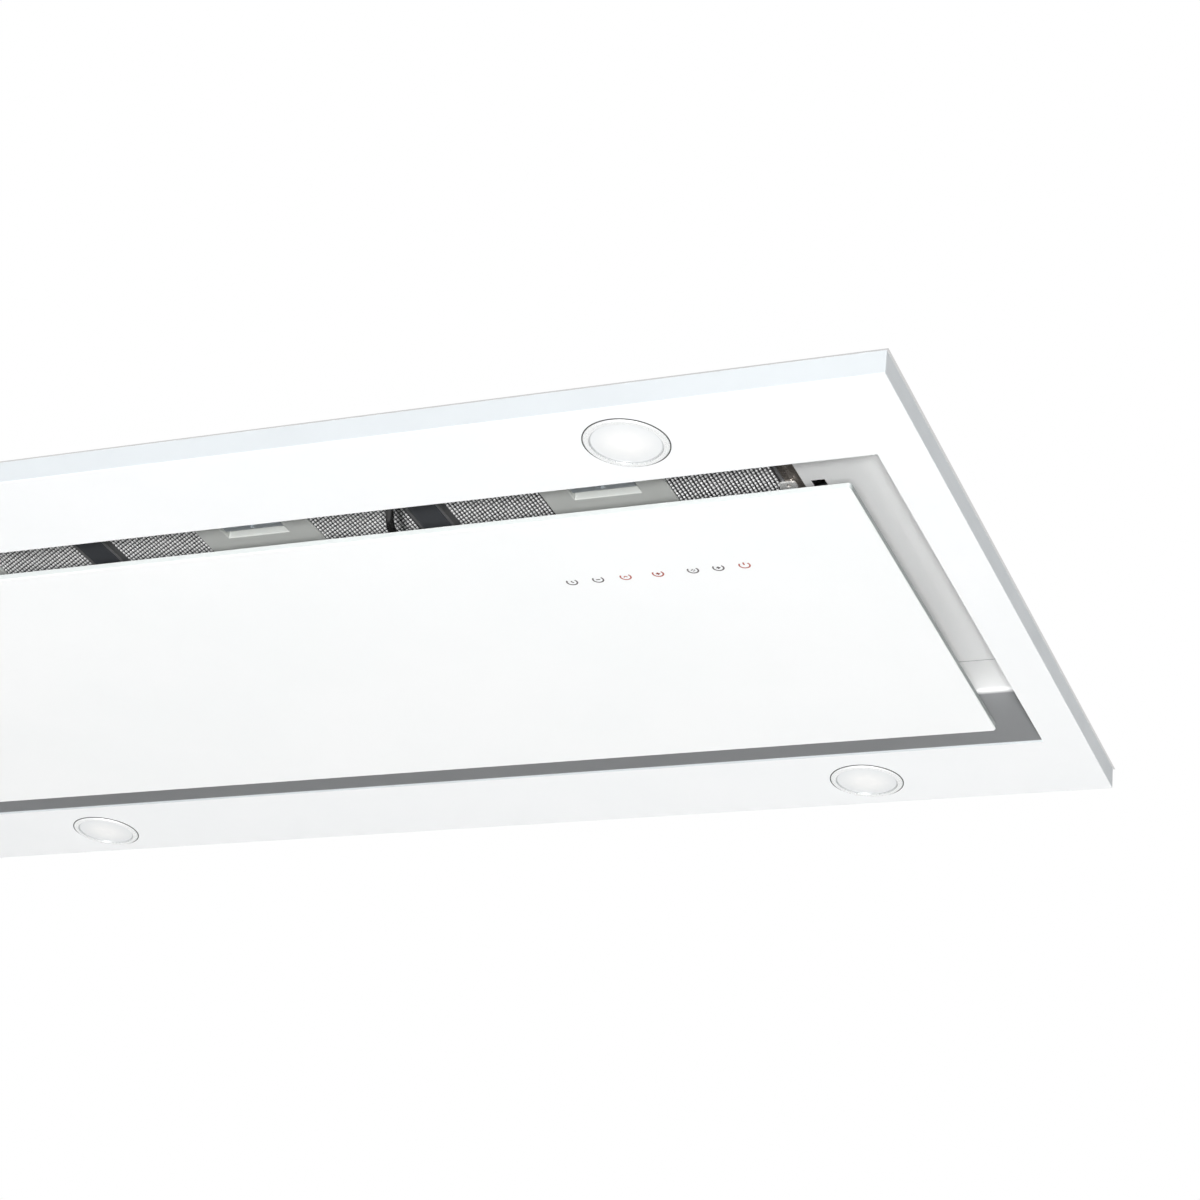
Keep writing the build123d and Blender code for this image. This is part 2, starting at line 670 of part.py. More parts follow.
# The springs are drawn at the length they have with the latch pulled back
with BuildPart() as latch_springs:
    for x in filter_xs:
        with BuildSketch(neck_plane(x, pocket_near_y - POCKET_WALL)):
            Circle(SPRING_RADIUS)
            Circle(SPRING_RADIUS - SPRING_WIRE, mode=Mode.SUBTRACT)
        extrude(amount=spring_length)
save(latch_springs, "latch_springs")

# ---------------------------------------------------------------- centre panel

panel = (panel_length, panel_width)
panel_tray_size = (panel_length - 2 * PANEL_TRAY_INSET_END, panel_width - 2 * PANEL_TRAY_INSET_SIDE)

with BuildPart() as glass_panel:
    slab(glass_z, GLASS_THICKNESS, *panel)
    fillet(glass_panel.edges().filter_by(Axis.Z), GLASS_CORNER)
    chamfer(glass_panel.faces().sort_by(Axis.Z)[0].edges(), FRAME_EDGE)
save(glass_panel, "glass_panel")

with BuildPart() as panel_tray:
    slab(glass_top_z, PANEL_TRAY_EDGE, *panel_tray_size)
    fillet(panel_tray.edges().filter_by(Axis.Z), GLASS_CORNER)
    inner = grown(panel_tray_size, -PANEL_SHEET)
    slab(panel_floor_z, PANEL_TRAY_EDGE - PANEL_SHEET, *inner, mode=Mode.SUBTRACT)
    notch_x = LEAD_POINTS[4][0]
    tray_near_y = -panel_tray_size[1] / 2
    low = (notch_x - LEAD_NOTCH_WIDTH / 2, tray_near_y, panel_floor_z)
    high = (notch_x + LEAD_NOTCH_WIDTH / 2, tray_near_y + PANEL_SHEET, glass_top_z + PANEL_TRAY_EDGE)
    block(low, high, mode=Mode.SUBTRACT)
save(panel_tray, "panel_tray")

touch_low_x = TOUCH_FIRST_X - TOUCH_MARGIN
with BuildPart() as touch_board:
    low = (touch_low_x, TOUCH_Y - TOUCH_WIDTH / 2, panel_floor_z)
    high = (TOUCH_LAST_X + TOUCH_MARGIN, TOUCH_Y + TOUCH_WIDTH / 2, panel_floor_z + TOUCH_HEIGHT)
    block(low, high)
    fillet(touch_board.edges().filter_by(Axis.Z), 2)
    chamfer(touch_board.faces().sort_by(Axis.Z)[-1].edges(), 0.8)
save(touch_board, "touch_board")

with BuildPart() as lead_plug:
    plug_y = LEAD_POINTS[0][1]
    low = (LEAD_POINTS[0][0], plug_y - PLUG_WIDTH / 2, panel_floor_z)
    high = (touch_low_x, plug_y + PLUG_WIDTH / 2, panel_floor_z + PLUG_HEIGHT)
    block(low, high)
    chamfer(lead_plug.faces().sort_by(Axis.Z)[-1].edges(), 0.6)
save(lead_plug, "lead_plug")

# ---------------------------------------------------------------- panel hinges

cheek_inner = HINGE_PLATE / 2 + HINGE_SIDE_GAP
cheek_outer = cheek_inner + HINGE_CHEEK


def hinge_bracket(side):
    """The upright plate under the ledge that carries one hinge pin, with its foot."""
    x = side * hinge_x
    low_z, high_z = hinge_z, ledge_z
    with BuildPart() as piece:
        with BuildSketch(across_x(x - HINGE_PLATE / 2)):
            with Locations((hinge_y, hinge_z)):
                Circle(HINGE_EYE_RADIUS)
            with BuildLine():
                Polyline(
                    (hinge_y - HINGE_EYE_RADIUS * 0.6, low_z + HINGE_EYE_RADIUS * 0.8),
                    (hinge_foot_near, high_z),
                    (hinge_foot_far, high_z),
                    (hinge_y + HINGE_EYE_RADIUS * 0.6, low_z - HINGE_EYE_RADIUS * 0.8),
                    close=True,
                )
            make_face()
            with Locations((hinge_y, hinge_z)):
                Circle(HINGE_PIN_RADIUS + HINGE_RUNNING_GAP, mode=Mode.SUBTRACT)
        extrude(amount=HINGE_PLATE)
        foot_x = x + side * (HINGE_FOOT_WIDTH - HINGE_PLATE) / 2
        with BuildSketch(Plane.XY.offset(ledge_z)):
            with Locations((foot_x, (hinge_foot_near + hinge_foot_far) / 2)):
                Rectangle(HINGE_FOOT_WIDTH, hinge_foot_far - hinge_foot_near)
        extrude(amount=-HINGE_CHEEK)
    return piece.part


def hinge_lug(side):
    """The two cheeks on the panel tray that hold one hinge pin, on their common base."""
    x = side * hinge_x
    with BuildPart() as piece:
        with BuildSketch(across_x(x - cheek_outer)):
            with Locations((hinge_y, hinge_z)):
                Circle(HINGE_LUG_WIDTH / 2)
            with Locations((hinge_y, (hinge_z + panel_floor_z) / 2)):
                Rectangle(HINGE_LUG_WIDTH, hinge_z - panel_floor_z)
            with Locations((hinge_y, hinge_z)):
                Circle(HINGE_PIN_RADIUS, mode=Mode.SUBTRACT)
        extrude(amount=2 * cheek_outer)
        low = (x - cheek_inner, hinge_y - HINGE_LUG_WIDTH, panel_floor_z + HINGE_BASE)
        high = (x + cheek_inner, hinge_y + HINGE_LUG_WIDTH, hinge_z + HINGE_LUG_WIDTH)
        block(low, high, mode=Mode.SUBTRACT)
    return piece.part


with BuildPart() as hinge_brackets:
    add(hinge_bracket(-1))
    add(hinge_bracket(1))
save(hinge_brackets, "hinge_brackets")

with BuildPart() as hinge_lugs:
    add(hinge_lug(-1))
    add(hinge_lug(1))
save(hinge_lugs, "hinge_lugs")

with BuildPart() as hinge_pins:
    for side in (-1, 1):
        with BuildSketch(across_x(side * hinge_x - cheek_outer)):
            with Locations((hinge_y, hinge_z)):
                Circle(HINGE_PIN_RADIUS)
        extrude(amount=2 * cheek_outer)
        for end in (-1, 1):
            with BuildSketch(across_x(side * hinge_x + end * cheek_outer)):
                with Locations((hinge_y, hinge_z)):
                    Circle(HINGE_PIN_RADIUS * 1.6)
            extrude(amount=end * HINGE_SIDE_GAP * 2)
save(hinge_pins, "hinge_pins")

# ---------------------------------------------------------------- magnet catches

strike_z = panel_floor_z + STRIKE_THICKNESS
magnet_low_z = strike_z + CATCH_GAP
with BuildPart() as magnet_catches:
    for side in (-1, 1):
        low = (side * catch_x - CATCH_LENGTH / 2, catch_y - CATCH_WIDTH / 2, magnet_low_z)
        high = (side * catch_x + CATCH_LENGTH / 2, catch_y + CATCH_WIDTH / 2, ledge_z)
        block(low, high)
        wall = HINGE_CHEEK
        low = (low[0] + wall, low[1] + wall, magnet_low_z)
        high = (high[0] - wall, high[1] - wall, magnet_low_z + MAGNET_HEIGHT)
        block(low, high, mode=Mode.SUBTRACT)
    fillet(magnet_catches.edges().filter_by(Axis.Z).group_by(SortBy.LENGTH)[-1], 1.5)
save(magnet_catches, "magnet_catches")

with BuildPart() as catch_magnets:
    for side in (-1, 1):
        wall = HINGE_CHEEK
        low = (side * catch_x - CATCH_LENGTH / 2 + wall, catch_y - CATCH_WIDTH / 2 + wall, magnet_low_z)
        far_x = low[0] + CATCH_LENGTH - 2 * wall
        far_y = low[1] + CATCH_WIDTH - 2 * wall
        block(low, (far_x, far_y, magnet_low_z + MAGNET_HEIGHT))
save(catch_magnets, "catch_magnets")

with BuildPart() as strike_plates:
    with BuildSketch(Plane.XY.offset(panel_floor_z)):
        with Locations((-catch_x, catch_y), (catch_x, catch_y)):
            RectangleRounded(CATCH_LENGTH + 6, CATCH_WIDTH + 4, 2)
    extrude(amount=STRIKE_THICKNESS)
save(strike_plates, "strike_plates")

# ---------------------------------------------------------------- lamps

lamp_grid = GridLocations(lamp_spacing_x, lamp_spacing_y, 2, 2)
lens_edge = LENS_RADIUS - LENS_CLEARANCE
lens_top_z = face_z + LENS_RECESS
lens_low_z = face_z - BEZEL_PROUD + LENS_CROWN / 2

with BuildPart() as lamp_bezels:
    with BuildPart(mode=Mode.PRIVATE) as bezel:
        with BuildSketch(Plane.XZ):
            with BuildLine():
                Polyline(
                    (LENS_RADIUS, back_z + LAMP_SLEEVE_HEIGHT),
                    (LENS_RADIUS, face_z - BEZEL_PROUD),
                    (bezel_radius - BEZEL_PROUD, face_z - BEZEL_PROUD),
                    (bezel_radius, face_z),
                    (sleeve_radius, face_z),
                    (sleeve_radius, back_z + LAMP_SLEEVE_HEIGHT),
                    close=True,
                )
            make_face()
        revolve(axis=Axis.Z)
    with lamp_grid:
        add(bezel.part)
save(lamp_bezels, "lamp_bezels")

with BuildPart() as lamp_lenses:
    with BuildPart(mode=Mode.PRIVATE) as lens:
        with BuildSketch(Plane.XZ):
            with BuildLine():
                Line((0, lens_top_z), (lens_edge, lens_top_z))
                Line((lens_edge, lens_top_z), (lens_edge, lens_low_z + LENS_CROWN))
                TangentArc((0, lens_low_z), (lens_edge, lens_low_z + LENS_CROWN), tangent=(1, 0))
                Line((0, lens_low_z), (0, lens_top_z))
            make_face()
        revolve(axis=Axis.Z)
    with lamp_grid:
        add(lens.part)
save(lamp_lenses, "lamp_lenses")

with BuildPart() as lamp_cans:
    with BuildSketch(Plane.XY.offset(lens_top_z)):
        with lamp_grid:
            Circle(lens_edge)
    extrude(amount=CAN_HEIGHT)
    fin_step = 2 * LENS_RADIUS / (CAN_FINS + 1)
    with BuildSketch(Plane.XY.offset(lens_top_z + CAN_HEIGHT - FIN_HEIGHT)):
        with lamp_grid:
            with GridLocations(fin_step, 0, CAN_FINS - 1, 1):
                Rectangle(fin_step - FIN_THICKNESS, 2 * LENS_RADIUS)
    extrude(amount=FIN_HEIGHT, mode=Mode.SUBTRACT)
save(lamp_cans, "lamp_cans")

with BuildPart() as lamp_clips:
    with BuildPart(mode=Mode.PRIVATE) as clip_pair:
        with BuildSketch(Plane.XZ.offset(-CLIP_WIDTH / 2)):
            with BuildLine():
                Polyline(
                    (sleeve_radius, back_z + LAMP_SLEEVE_HEIGHT),
                    (sleeve_radius, back_z + 1),
                    (sleeve_radius + CLIP_REACH, back_z),
                    (sleeve_radius + CLIP_REACH, back_z + CLIP_SHEET),
                    (sleeve_radius + CLIP_SHEET, back_z + 1 + CLIP_SHEET),
                    (sleeve_radius + CLIP_SHEET, back_z + LAMP_SLEEVE_HEIGHT),
                    close=True,
                )
            make_face()
        extrude(amount=CLIP_WIDTH)
        mirror(about=Plane.YZ)
    with lamp_grid:
        add(clip_pair.part)
save(lamp_clips, "lamp_clips")

# ---------------------------------------------------------------- blower scroll

with BuildPart() as scroll_shell:
    extrude(scroll_outline(SCROLL_WALL), amount=scroll_half, both=True)
    extrude(scroll_outline(0), amount=scroll_half - SCROLL_WALL, both=True, mode=Mode.SUBTRACT)
    with BuildSketch(wheel_axis):
        Circle(INLET_RADIUS)
    extrude(amount=scroll_half, both=True, mode=Mode.SUBTRACT)
save(scroll_shell, "scroll_shell")


def inlet_ring(side, guarded):
    """A bell-mouthed inlet ring on one cheek of the scroll, with or without a finger guard."""
    outside = scroll_half
    inside = WHEEL_HALF_WIDTH + 2
    with BuildPart() as piece:
        with BuildSketch(Plane.XZ) as profile:
            with BuildLine():
                Polyline(
                    (INLET_RADIUS, inside),
                    (INLET_THROAT, inside),
                    (INLET_THROAT, outside - 5),
                )
                ThreePointArc(
                    (INLET_THROAT, outside - 5),
                    (INLET_THROAT + 2, outside),
                    (INLET_THROAT + 7, outside + SCROLL_WALL),
                )
                Polyline(
                    (INLET_THROAT + 7, outside + SCROLL_WALL),
                    (INLET_RADIUS + INLET_FLANGE, outside + SCROLL_WALL),
                    (INLET_RADIUS + INLET_FLANGE, outside),
                    (INLET_RADIUS, outside),
                    (INLET_RADIUS, inside),
                )
            make_face()
        revolve(axis=Axis.Z)
        if guarded:
            low_z = outside + SCROLL_WALL
            with BuildSketch(Plane.XY.offset(low_z)):
                for radius in GUARD_RINGS:
                    Circle(radius + GUARD_BAR / 2)
                    Circle(radius - GUARD_BAR / 2, mode=Mode.SUBTRACT)
                with PolarLocations(0, 2, angular_range=180, endpoint=False):
                    Rectangle(2 * (INLET_RADIUS + INLET_FLANGE) - 4, GUARD_BAR)
            extrude(amount=GUARD_BAR)
    seat = wheel_axis if side > 0 else Plane(wheel_axis.origin, x_dir=(0, 1, 0), z_dir=(-1, 0, 0))
    return seat.location * piece.part


with BuildPart() as inlet_ring_left:
    add(inlet_ring(-1, False))
save(inlet_ring_left, "inlet_ring_left")

with BuildPart() as inlet_ring_right:
    add(inlet_ring(1, True))
save(inlet_ring_right, "inlet_ring_right")

# ---------------------------------------------------------------- impeller and shaft

blade_foot = WHEEL_RADIUS - BLADE_DEPTH
with BuildPart() as impeller:
    with BuildSketch(wheel_axis.offset(-WHEEL_RING / 2)):
        Circle(WHEEL_RADIUS)
    extrude(amount=WHEEL_RING)
    with BuildSketch(wheel_axis.offset(-HUB_HALF_LENGTH)):
        Circle(HUB_RADIUS)
    extrude(amount=2 * HUB_HALF_LENGTH)
    # Forward-curved blades: each is a thin arc from the foot circle to the rim
    with BuildSketch(wheel_axis.offset(-WHEEL_HALF_WIDTH)):
        with PolarLocations(0, BLADE_COUNT):
            foot = (blade_foot + 0.5, 0)
            tip_turn = radians(BLADE_LEAN / 4)
            tip_radius = WHEEL_RADIUS - 0.5
            tip = (tip_radius * cos(tip_turn), tip_radius * sin(tip_turn))
            with BuildLine():
                front = SagittaArc(foot, tip, 2.6)
                back = SagittaArc(
                    (foot[0], foot[1] + BLADE_THICKNESS),
                    (tip[0] - 0.4, tip[1] + BLADE_THICKNESS),
                    2.6,
                )
                Line(front @ 0, back @ 0)
                Line(front @ 1, back @ 1)
            make_face()
    extrude(amount=2 * WHEEL_HALF_WIDTH)
    for end in (-WHEEL_HALF_WIDTH, WHEEL_HALF_WIDTH - WHEEL_RING):
        with BuildSketch(wheel_axis.offset(end)):
            Circle(WHEEL_RADIUS)
            Circle(blade_foot, mode=Mode.SUBTRACT)
        extrude(amount=WHEEL_RING)
    with BuildSketch(wheel_axis.offset(-HUB_HALF_LENGTH)):
        Circle(SHAFT_RADIUS)
    extrude(amount=2 * HUB_HALF_LENGTH, mode=Mode.SUBTRACT)
save(impeller, "impeller")

with BuildPart() as motor_shaft:
    shaft_length = MOTOR_NOSE + MOTOR_BORE_DEPTH - 1 + HUB_HALF_LENGTH + 3
    with BuildSketch(wheel_axis.offset(-MOTOR_NOSE - MOTOR_BORE_DEPTH + 1)):
        Circle(SHAFT_RADIUS)
    extrude(amount=shaft_length)
    chamfer(motor_shaft.faces().sort_by(Axis.X)[-1].edges(), 0.6)
save(motor_shaft, "motor_shaft")

# ---------------------------------------------------------------- motor and its bracket

with BuildPart() as motor:
    with BuildSketch(Plane.XZ):
        with BuildLine():
            Polyline(
                (SHAFT_RADIUS + SHAFT_RUNNING_GAP, MOTOR_LENGTH),
                (HUB_RADIUS, MOTOR_LENGTH),
                (HUB_RADIUS, MOTOR_LENGTH - 4),
                (MOTOR_RADIUS - 6, MOTOR_LENGTH - 4),
            )
            RadiusArc((MOTOR_RADIUS - 6, MOTOR_LENGTH - 4), (MOTOR_RADIUS, MOTOR_LENGTH - 10), 6)
            Polyline(
                (MOTOR_RADIUS, MOTOR_LENGTH - 10),
                (MOTOR_RADIUS, 6),
                (MOTOR_RADIUS - 6, 0),
                (0, 0),
                (0, MOTOR_LENGTH - MOTOR_BORE_DEPTH),
                (SHAFT_RADIUS + SHAFT_RUNNING_GAP, MOTOR_LENGTH - MOTOR_BORE_DEPTH),
                (SHAFT_RADIUS + SHAFT_RUNNING_GAP, MOTOR_LENGTH),
            )
        make_face()
    revolve(axis=Axis.Z)
motor_seat = wheel_axis.offset(-MOTOR_NOSE - MOTOR_LENGTH)
motor.part = motor_seat.location * motor.part
save(motor, "motor")

with BuildPart() as motor_bracket:
    ring_flange_x = -scroll_half - SCROLL_WALL
    band_low = ring_flange_x - BRACKET_WIDTH - 10
    with BuildSketch(wheel_axis.offset(band_low)):
        Circle(MOTOR_RADIUS + BRACKET_BAND)
        with PolarLocations((MOTOR_RADIUS + INLET_RADIUS + INLET_FLANGE) / 2, 3, start_angle=90):
            Rectangle(INLET_RADIUS + INLET_FLANGE - MOTOR_RADIUS, BRACKET_WIDTH)
        Circle(MOTOR_RADIUS, mode=Mode.SUBTRACT)
    extrude(amount=BRACKET_BAND)
    with BuildSketch(wheel_axis.offset(band_low)):
        Circle(MOTOR_RADIUS + BRACKET_BAND)
        Circle(MOTOR_RADIUS, mode=Mode.SUBTRACT)
    extrude(amount=BRACKET_WIDTH)
    with BuildSketch(wheel_axis.offset(band_low)):
        with PolarLocations(INLET_RADIUS + INLET_FLANGE - BRACKET_BAND / 2, 3, start_angle=90):
            Rectangle(BRACKET_BAND, BRACKET_WIDTH)
    extrude(amount=ring_flange_x - band_low)
save(motor_bracket, "motor_bracket")

# ---------------------------------------------------------------- outlet transition

mouth_length = 2 * scroll_half
mouth_width = outlet_far_y - tongue_y + 2 * SCROLL_WALL
with BuildPart() as outlet_transition:
    for shrink, mode in ((0, Mode.ADD), (SCROLL_WALL, Mode.SUBTRACT)):
        with BuildSketch(Plane.XY.offset(mouth_z)):
            with Locations((0, COLLAR_Y)):
                RectangleRounded(mouth_length - 2 * shrink, mouth_width - 2 * shrink, 8)
        with BuildSketch(Plane.XY.offset(under_top_z)):
            with Locations((0, COLLAR_Y)):
                Circle(duct_hole_radius + SCROLL_WALL - shrink)
        loft(mode=mode)
save(outlet_transition, "outlet_transition")

# ---------------------------------------------------------------- blower hangers

mount_z = under_top_z - MOUNT_HEIGHT
hanger_near_y = wheel_y + HANGER_NEAR
hanger_far_y = wheel_y + HANGER_FAR

# One plate on each cheek of the scroll, arched over the inlet, with a foot along its top edge
with BuildPart() as blower_hangers:
    block(
        (scroll_half, hanger_near_y, wheel_z + HANGER_LOW),
        (scroll_half + HANGER_SHEET, hanger_far_y, mount_z),
    )
    lower_corners = blower_hangers.edges().filter_by(Axis.X).group_by(Axis.Z)[0]
    fillet(lower_corners, HANGER_CORNER)
    block(
        (scroll_half, hanger_near_y, mount_z - HANGER_SHEET),
        (scroll_half + HANGER_FOOT, hanger_far_y, mount_z),
    )
    with BuildSketch(wheel_axis.offset(scroll_half)):
        Circle(INLET_RADIUS + INLET_FLANGE + HANGER_GAP)
    extrude(amount=HANGER_SHEET, mode=Mode.SUBTRACT)
    mirror(about=Plane.YZ)
save(blower_hangers, "blower_hangers")

mount_x = scroll_half + (HANGER_FOOT + HANGER_SHEET) / 2
mount_ys = (hanger_near_y + HANGER_CORNER, hanger_far_y - HANGER_CORNER)
with BuildPart() as rubber_mounts:
    with BuildPart(mode=Mode.PRIVATE) as mount:
        with BuildSketch(Plane.XZ):
            with BuildLine():
                Polyline(
                    (0, mount_z),
                    (0, under_top_z),
                    (MOUNT_RADIUS, under_top_z),
                    (MOUNT_RADIUS - MOUNT_WAIST, (mount_z + under_top_z) / 2),
                    (MOUNT_RADIUS, mount_z),
                    close=True,
                )
            make_face()
        revolve(axis=Axis.Z)
    with Locations(*[(side * mount_x, y) for side in (-1, 1) for y in mount_ys]):
        add(mount.part)
save(rubber_mounts, "rubber_mounts")

# ---------------------------------------------------------------- duct collar and flaps

with BuildPart() as duct_collar:
    with BuildSketch(Plane.XZ):
        with BuildLine():
            Polyline(
                (collar_bore, top_z),
                (COLLAR_FLANGE_RADIUS, top_z),
                (COLLAR_FLANGE_RADIUS, top_z + COLLAR_FLANGE),
                (COLLAR_RADIUS, top_z + COLLAR_FLANGE),
                (COLLAR_RADIUS, top_z + COLLAR_HEIGHT),
                (collar_bore, top_z + COLLAR_HEIGHT),
                (collar_bore, top_z + FLAP_STOP_HEIGHT),
                (collar_bore - FLAP_STOP_WIDTH, top_z + FLAP_STOP_HEIGHT),
                (collar_bore, top_z + FLAP_STOP_HEIGHT - FLAP_STOP_WIDTH),
                close=True,
            )
        make_face()
    revolve(axis=Axis.Z)
    # Two bosses in the bore carry the flaps' pin
    for side in (-1, 1):
        with BuildSketch(across_x(side * (collar_bore + COLLAR_WALL / 2))):
            with Locations((0, flap_pin_z)):
                Circle(PIN_BOSS_WIDTH / 2)
            with Locations((0, (flap_low_z + flap_pin_z) / 2)):
                Rectangle(PIN_BOSS_WIDTH, flap_pin_z - flap_low_z)
        extrude(amount=-side * (PIN_BOSS_LENGTH + COLLAR_WALL / 2))
    with BuildSketch(across_x(0)):
        with Locations((0, flap_pin_z)):
            Circle(FLAP_PIN_RADIUS)
    extrude(amount=collar_bore, both=True, mode=Mode.SUBTRACT)
duct_collar.part = Location((0, COLLAR_Y, 0)) * duct_collar.part
save(duct_collar, "duct_collar")

with BuildPart() as flap_pin:
    with BuildSketch(across_x(0)):
        with Locations((COLLAR_Y, flap_pin_z)):
            Circle(FLAP_PIN_RADIUS)
    extrude(amount=collar_bore, both=True)
save(flap_pin, "flap_pin")


def flap(side, knuckle_xs):
    """One half-round flap on the side +1 or -1 of the pin, with its knuckles."""
    radius = collar_bore - FLAP_EDGE_GAP
    with BuildPart() as piece:
        with BuildSketch(Plane.XY.offset(flap_low_z)):
            Circle(radius)
            with Locations((0, -side * (radius - FLAP_FROM_PIN))):
                Rectangle(2 * radius, 2 * radius, mode=Mode.SUBTRACT)
            boss_clear = PIN_BOSS_LENGTH + FLAP_EDGE_GAP
            for end in (-1, 1):
                with Locations((end * (collar_bore - boss_clear / 2), 0)):
                    Rectangle(boss_clear, PIN_BOSS_WIDTH + 2 * FLAP_EDGE_GAP, mode=Mode.SUBTRACT)
        extrude(amount=FLAP_THICKNESS)
        for knuckle_x in knuckle_xs:
            start = knuckle_x - FLAP_KNUCKLE_LENGTH / 2
            with BuildSketch(across_x(start)):
                with Locations((0, flap_pin_z)):
                    Circle(FLAP_KNUCKLE_RADIUS)
                reach = FLAP_FROM_PIN + 3
                with Locations((side * reach / 2, flap_low_z + FLAP_THICKNESS / 2)):
                    Rectangle(reach, FLAP_THICKNESS)
                with Locations((0, flap_pin_z)):
                    Circle(FLAP_PIN_RADIUS + HINGE_RUNNING_GAP, mode=Mode.SUBTRACT)
            extrude(amount=FLAP_KNUCKLE_LENGTH)
    return Location((0, COLLAR_Y, 0)) * piece.part


with BuildPart() as flap_far:
    add(flap(1, (-40, 24)))
save(flap_far, "flap_far")

with BuildPart() as flap_near:
    add(flap(-1, (-24, 40)))
save(flap_near, "flap_near")

# ---------------------------------------------------------------- suspension brackets

tab_z = top_z + SUSPENSION_RISE
with BuildPart() as suspension_brackets:
    with BuildPart(mode=Mode.PRIVATE) as bracket:
        # Profile across Y: a foot on the top, an upright, and a tab with the slot
        with BuildSketch(across_x(-SUSPENSION_WIDTH / 2)):
            web = SUSPENSION_TAB / 2
            foot_end = web + SUSPENSION_FOOT
            with BuildLine():
                Polyline(
                    (foot_end, top_z),
                    (web, top_z),
                    (web, tab_z - SUSPENSION_SHEET),
                    (-web, tab_z - SUSPENSION_SHEET),
                    (-web, tab_z),
                    (web + SUSPENSION_SHEET, tab_z),
                    (web + SUSPENSION_SHEET, top_z + SUSPENSION_SHEET),
                    (foot_end, top_z + SUSPENSION_SHEET),
                    close=True,
                )
            make_face()
        extrude(amount=SUSPENSION_WIDTH)
        with BuildSketch(Plane.XY.offset(tab_z - SUSPENSION_SHEET)):
            SlotOverall(SLOT_LENGTH, SLOT_WIDTH)
        extrude(amount=SUSPENSION_SHEET, mode=Mode.SUBTRACT)
    for side in (-1, 1):
        with Locations((side * suspension_x, -suspension_y)):
            add(bracket.part)
    mirror(about=Plane.XZ)
save(suspension_brackets, "suspension_brackets")

with BuildPart() as bracket_screws:
    screw_y = suspension_y - (SUSPENSION_TAB + SUSPENSION_FOOT + SUSPENSION_SHEET) / 2
    with BuildSketch(Plane.XY.offset(top_z + SUSPENSION_SHEET)):
        for x in (-suspension_x, suspension_x):
            for y in (-screw_y, screw_y):
                with Locations((x, y)):
                    with GridLocations(SCREW_SPACING, 0, 2, 1):
                        RegularPolygon(SCREW_RADIUS, 6)
    extrude(amount=SCREW_HEIGHT)
save(bracket_screws, "bracket_screws")

# ---------------------------------------------------------------- control box

box_low = (BOX_X - BOX_LENGTH / 2, BOX_Y - BOX_WIDTH / 2, top_z)
box_high = (BOX_X + BOX_LENGTH / 2, BOX_Y + BOX_WIDTH / 2, top_z + BOX_HEIGHT)
gland_y = BOX_Y + BOX_WIDTH / 4
gland_z = top_z + BOX_HEIGHT / 2
gland_plane = Plane(origin=(box_high[0], gland_y, gland_z), x_dir=(0, 1, 0), z_dir=(1, 0, 0))

with BuildPart() as control_box:
    block(box_low, box_high)
    fillet(control_box.edges().filter_by(Axis.Z), 4)
    low = [value + BOX_WALL for value in box_low]
    high = (box_high[0] - BOX_WALL, box_high[1] - BOX_WALL, box_high[2])
    block(low, high, mode=Mode.SUBTRACT)
    with BuildSketch(Plane.XY.offset(top_z)):
        with Locations(top_hole):
            Circle(LEAD_DIAMETER / 2 + LEAD_HOLE_GAP)
    extrude(amount=BOX_WALL, mode=Mode.SUBTRACT)
    with BuildSketch(gland_plane):
        Circle(GLAND_RADIUS * 0.7)
    extrude(amount=-BOX_WALL, mode=Mode.SUBTRACT)
save(control_box, "control_box")

with BuildPart() as control_cover:
    cover_high = (box_high[0], box_high[1], box_high[2] + BOX_COVER)
    block((box_low[0], box_low[1], box_high[2]), cover_high)
    fillet(control_cover.edges().filter_by(Axis.Z), 4)
    chamfer(control_cover.faces().sort_by(Axis.Z)[-1].edges(), 1.2)
    lip = BOX_WALL + LIP_CLEARANCE
    low = (box_low[0] + lip, box_low[1] + lip, box_high[2] - 3)
    high = (box_high[0] - lip, box_high[1] - lip, box_high[2])
    block(low, high)
    low = (low[0] + 1.5, low[1] + 1.5, low[2])
    high = (high[0] - 1.5, high[1] - 1.5, high[2])
    block(low, high, mode=Mode.SUBTRACT)
save(control_cover, "control_cover")

board_z = top_z + BOX_WALL + BOARD_STANDOFF
with BuildPart() as control_board:
    low = (box_low[0] + 16, box_low[1] + 8, board_z)
    high = (box_high[0] - 34, box_high[1] - 38, board_z + BOARD_THICKNESS)
    block(low, high)
    # Relays along the board, and the pillars it stands on
    with BuildSketch(Plane.XY.offset(board_z + BOARD_THICKNESS)):
        with Locations(((low[0] + high[0]) / 2, (low[1] + high[1]) / 2)):
            with GridLocations(22, 0, 4, 1):
                Rectangle(16, 20)
    extrude(amount=14)
    with BuildSketch(Plane.XY.offset(top_z + BOX_WALL)):
        with Locations(((low[0] + high[0]) / 2, (low[1] + high[1]) / 2)):
            with GridLocations(high[0] - low[0] - 8, high[1] - low[1] - 8, 2, 2):
                RegularPolygon(3, 6)
    extrude(amount=BOARD_STANDOFF)
save(control_board, "control_board")

with BuildPart() as terminal_block:
    strip = TERMINAL_WAYS * TERMINAL_PITCH
    low = (box_high[0] - 30, gland_y - strip / 2 - 8, top_z + BOX_WALL)
    high = (low[0] + 14, low[1] + strip, low[2] + 12)
    block(low, high)
    with BuildSketch(Plane.XY.offset(high[2])):
        with Locations(((low[0] + high[0]) / 2, (low[1] + high[1]) / 2)):
            with GridLocations(0, TERMINAL_PITCH, 1, TERMINAL_WAYS - 1):
                Rectangle(TERMINAL_SLOT * 4, TERMINAL_SLOT)
    extrude(amount=-TERMINAL_SLOT * 3, mode=Mode.SUBTRACT)
save(terminal_block, "terminal_block")

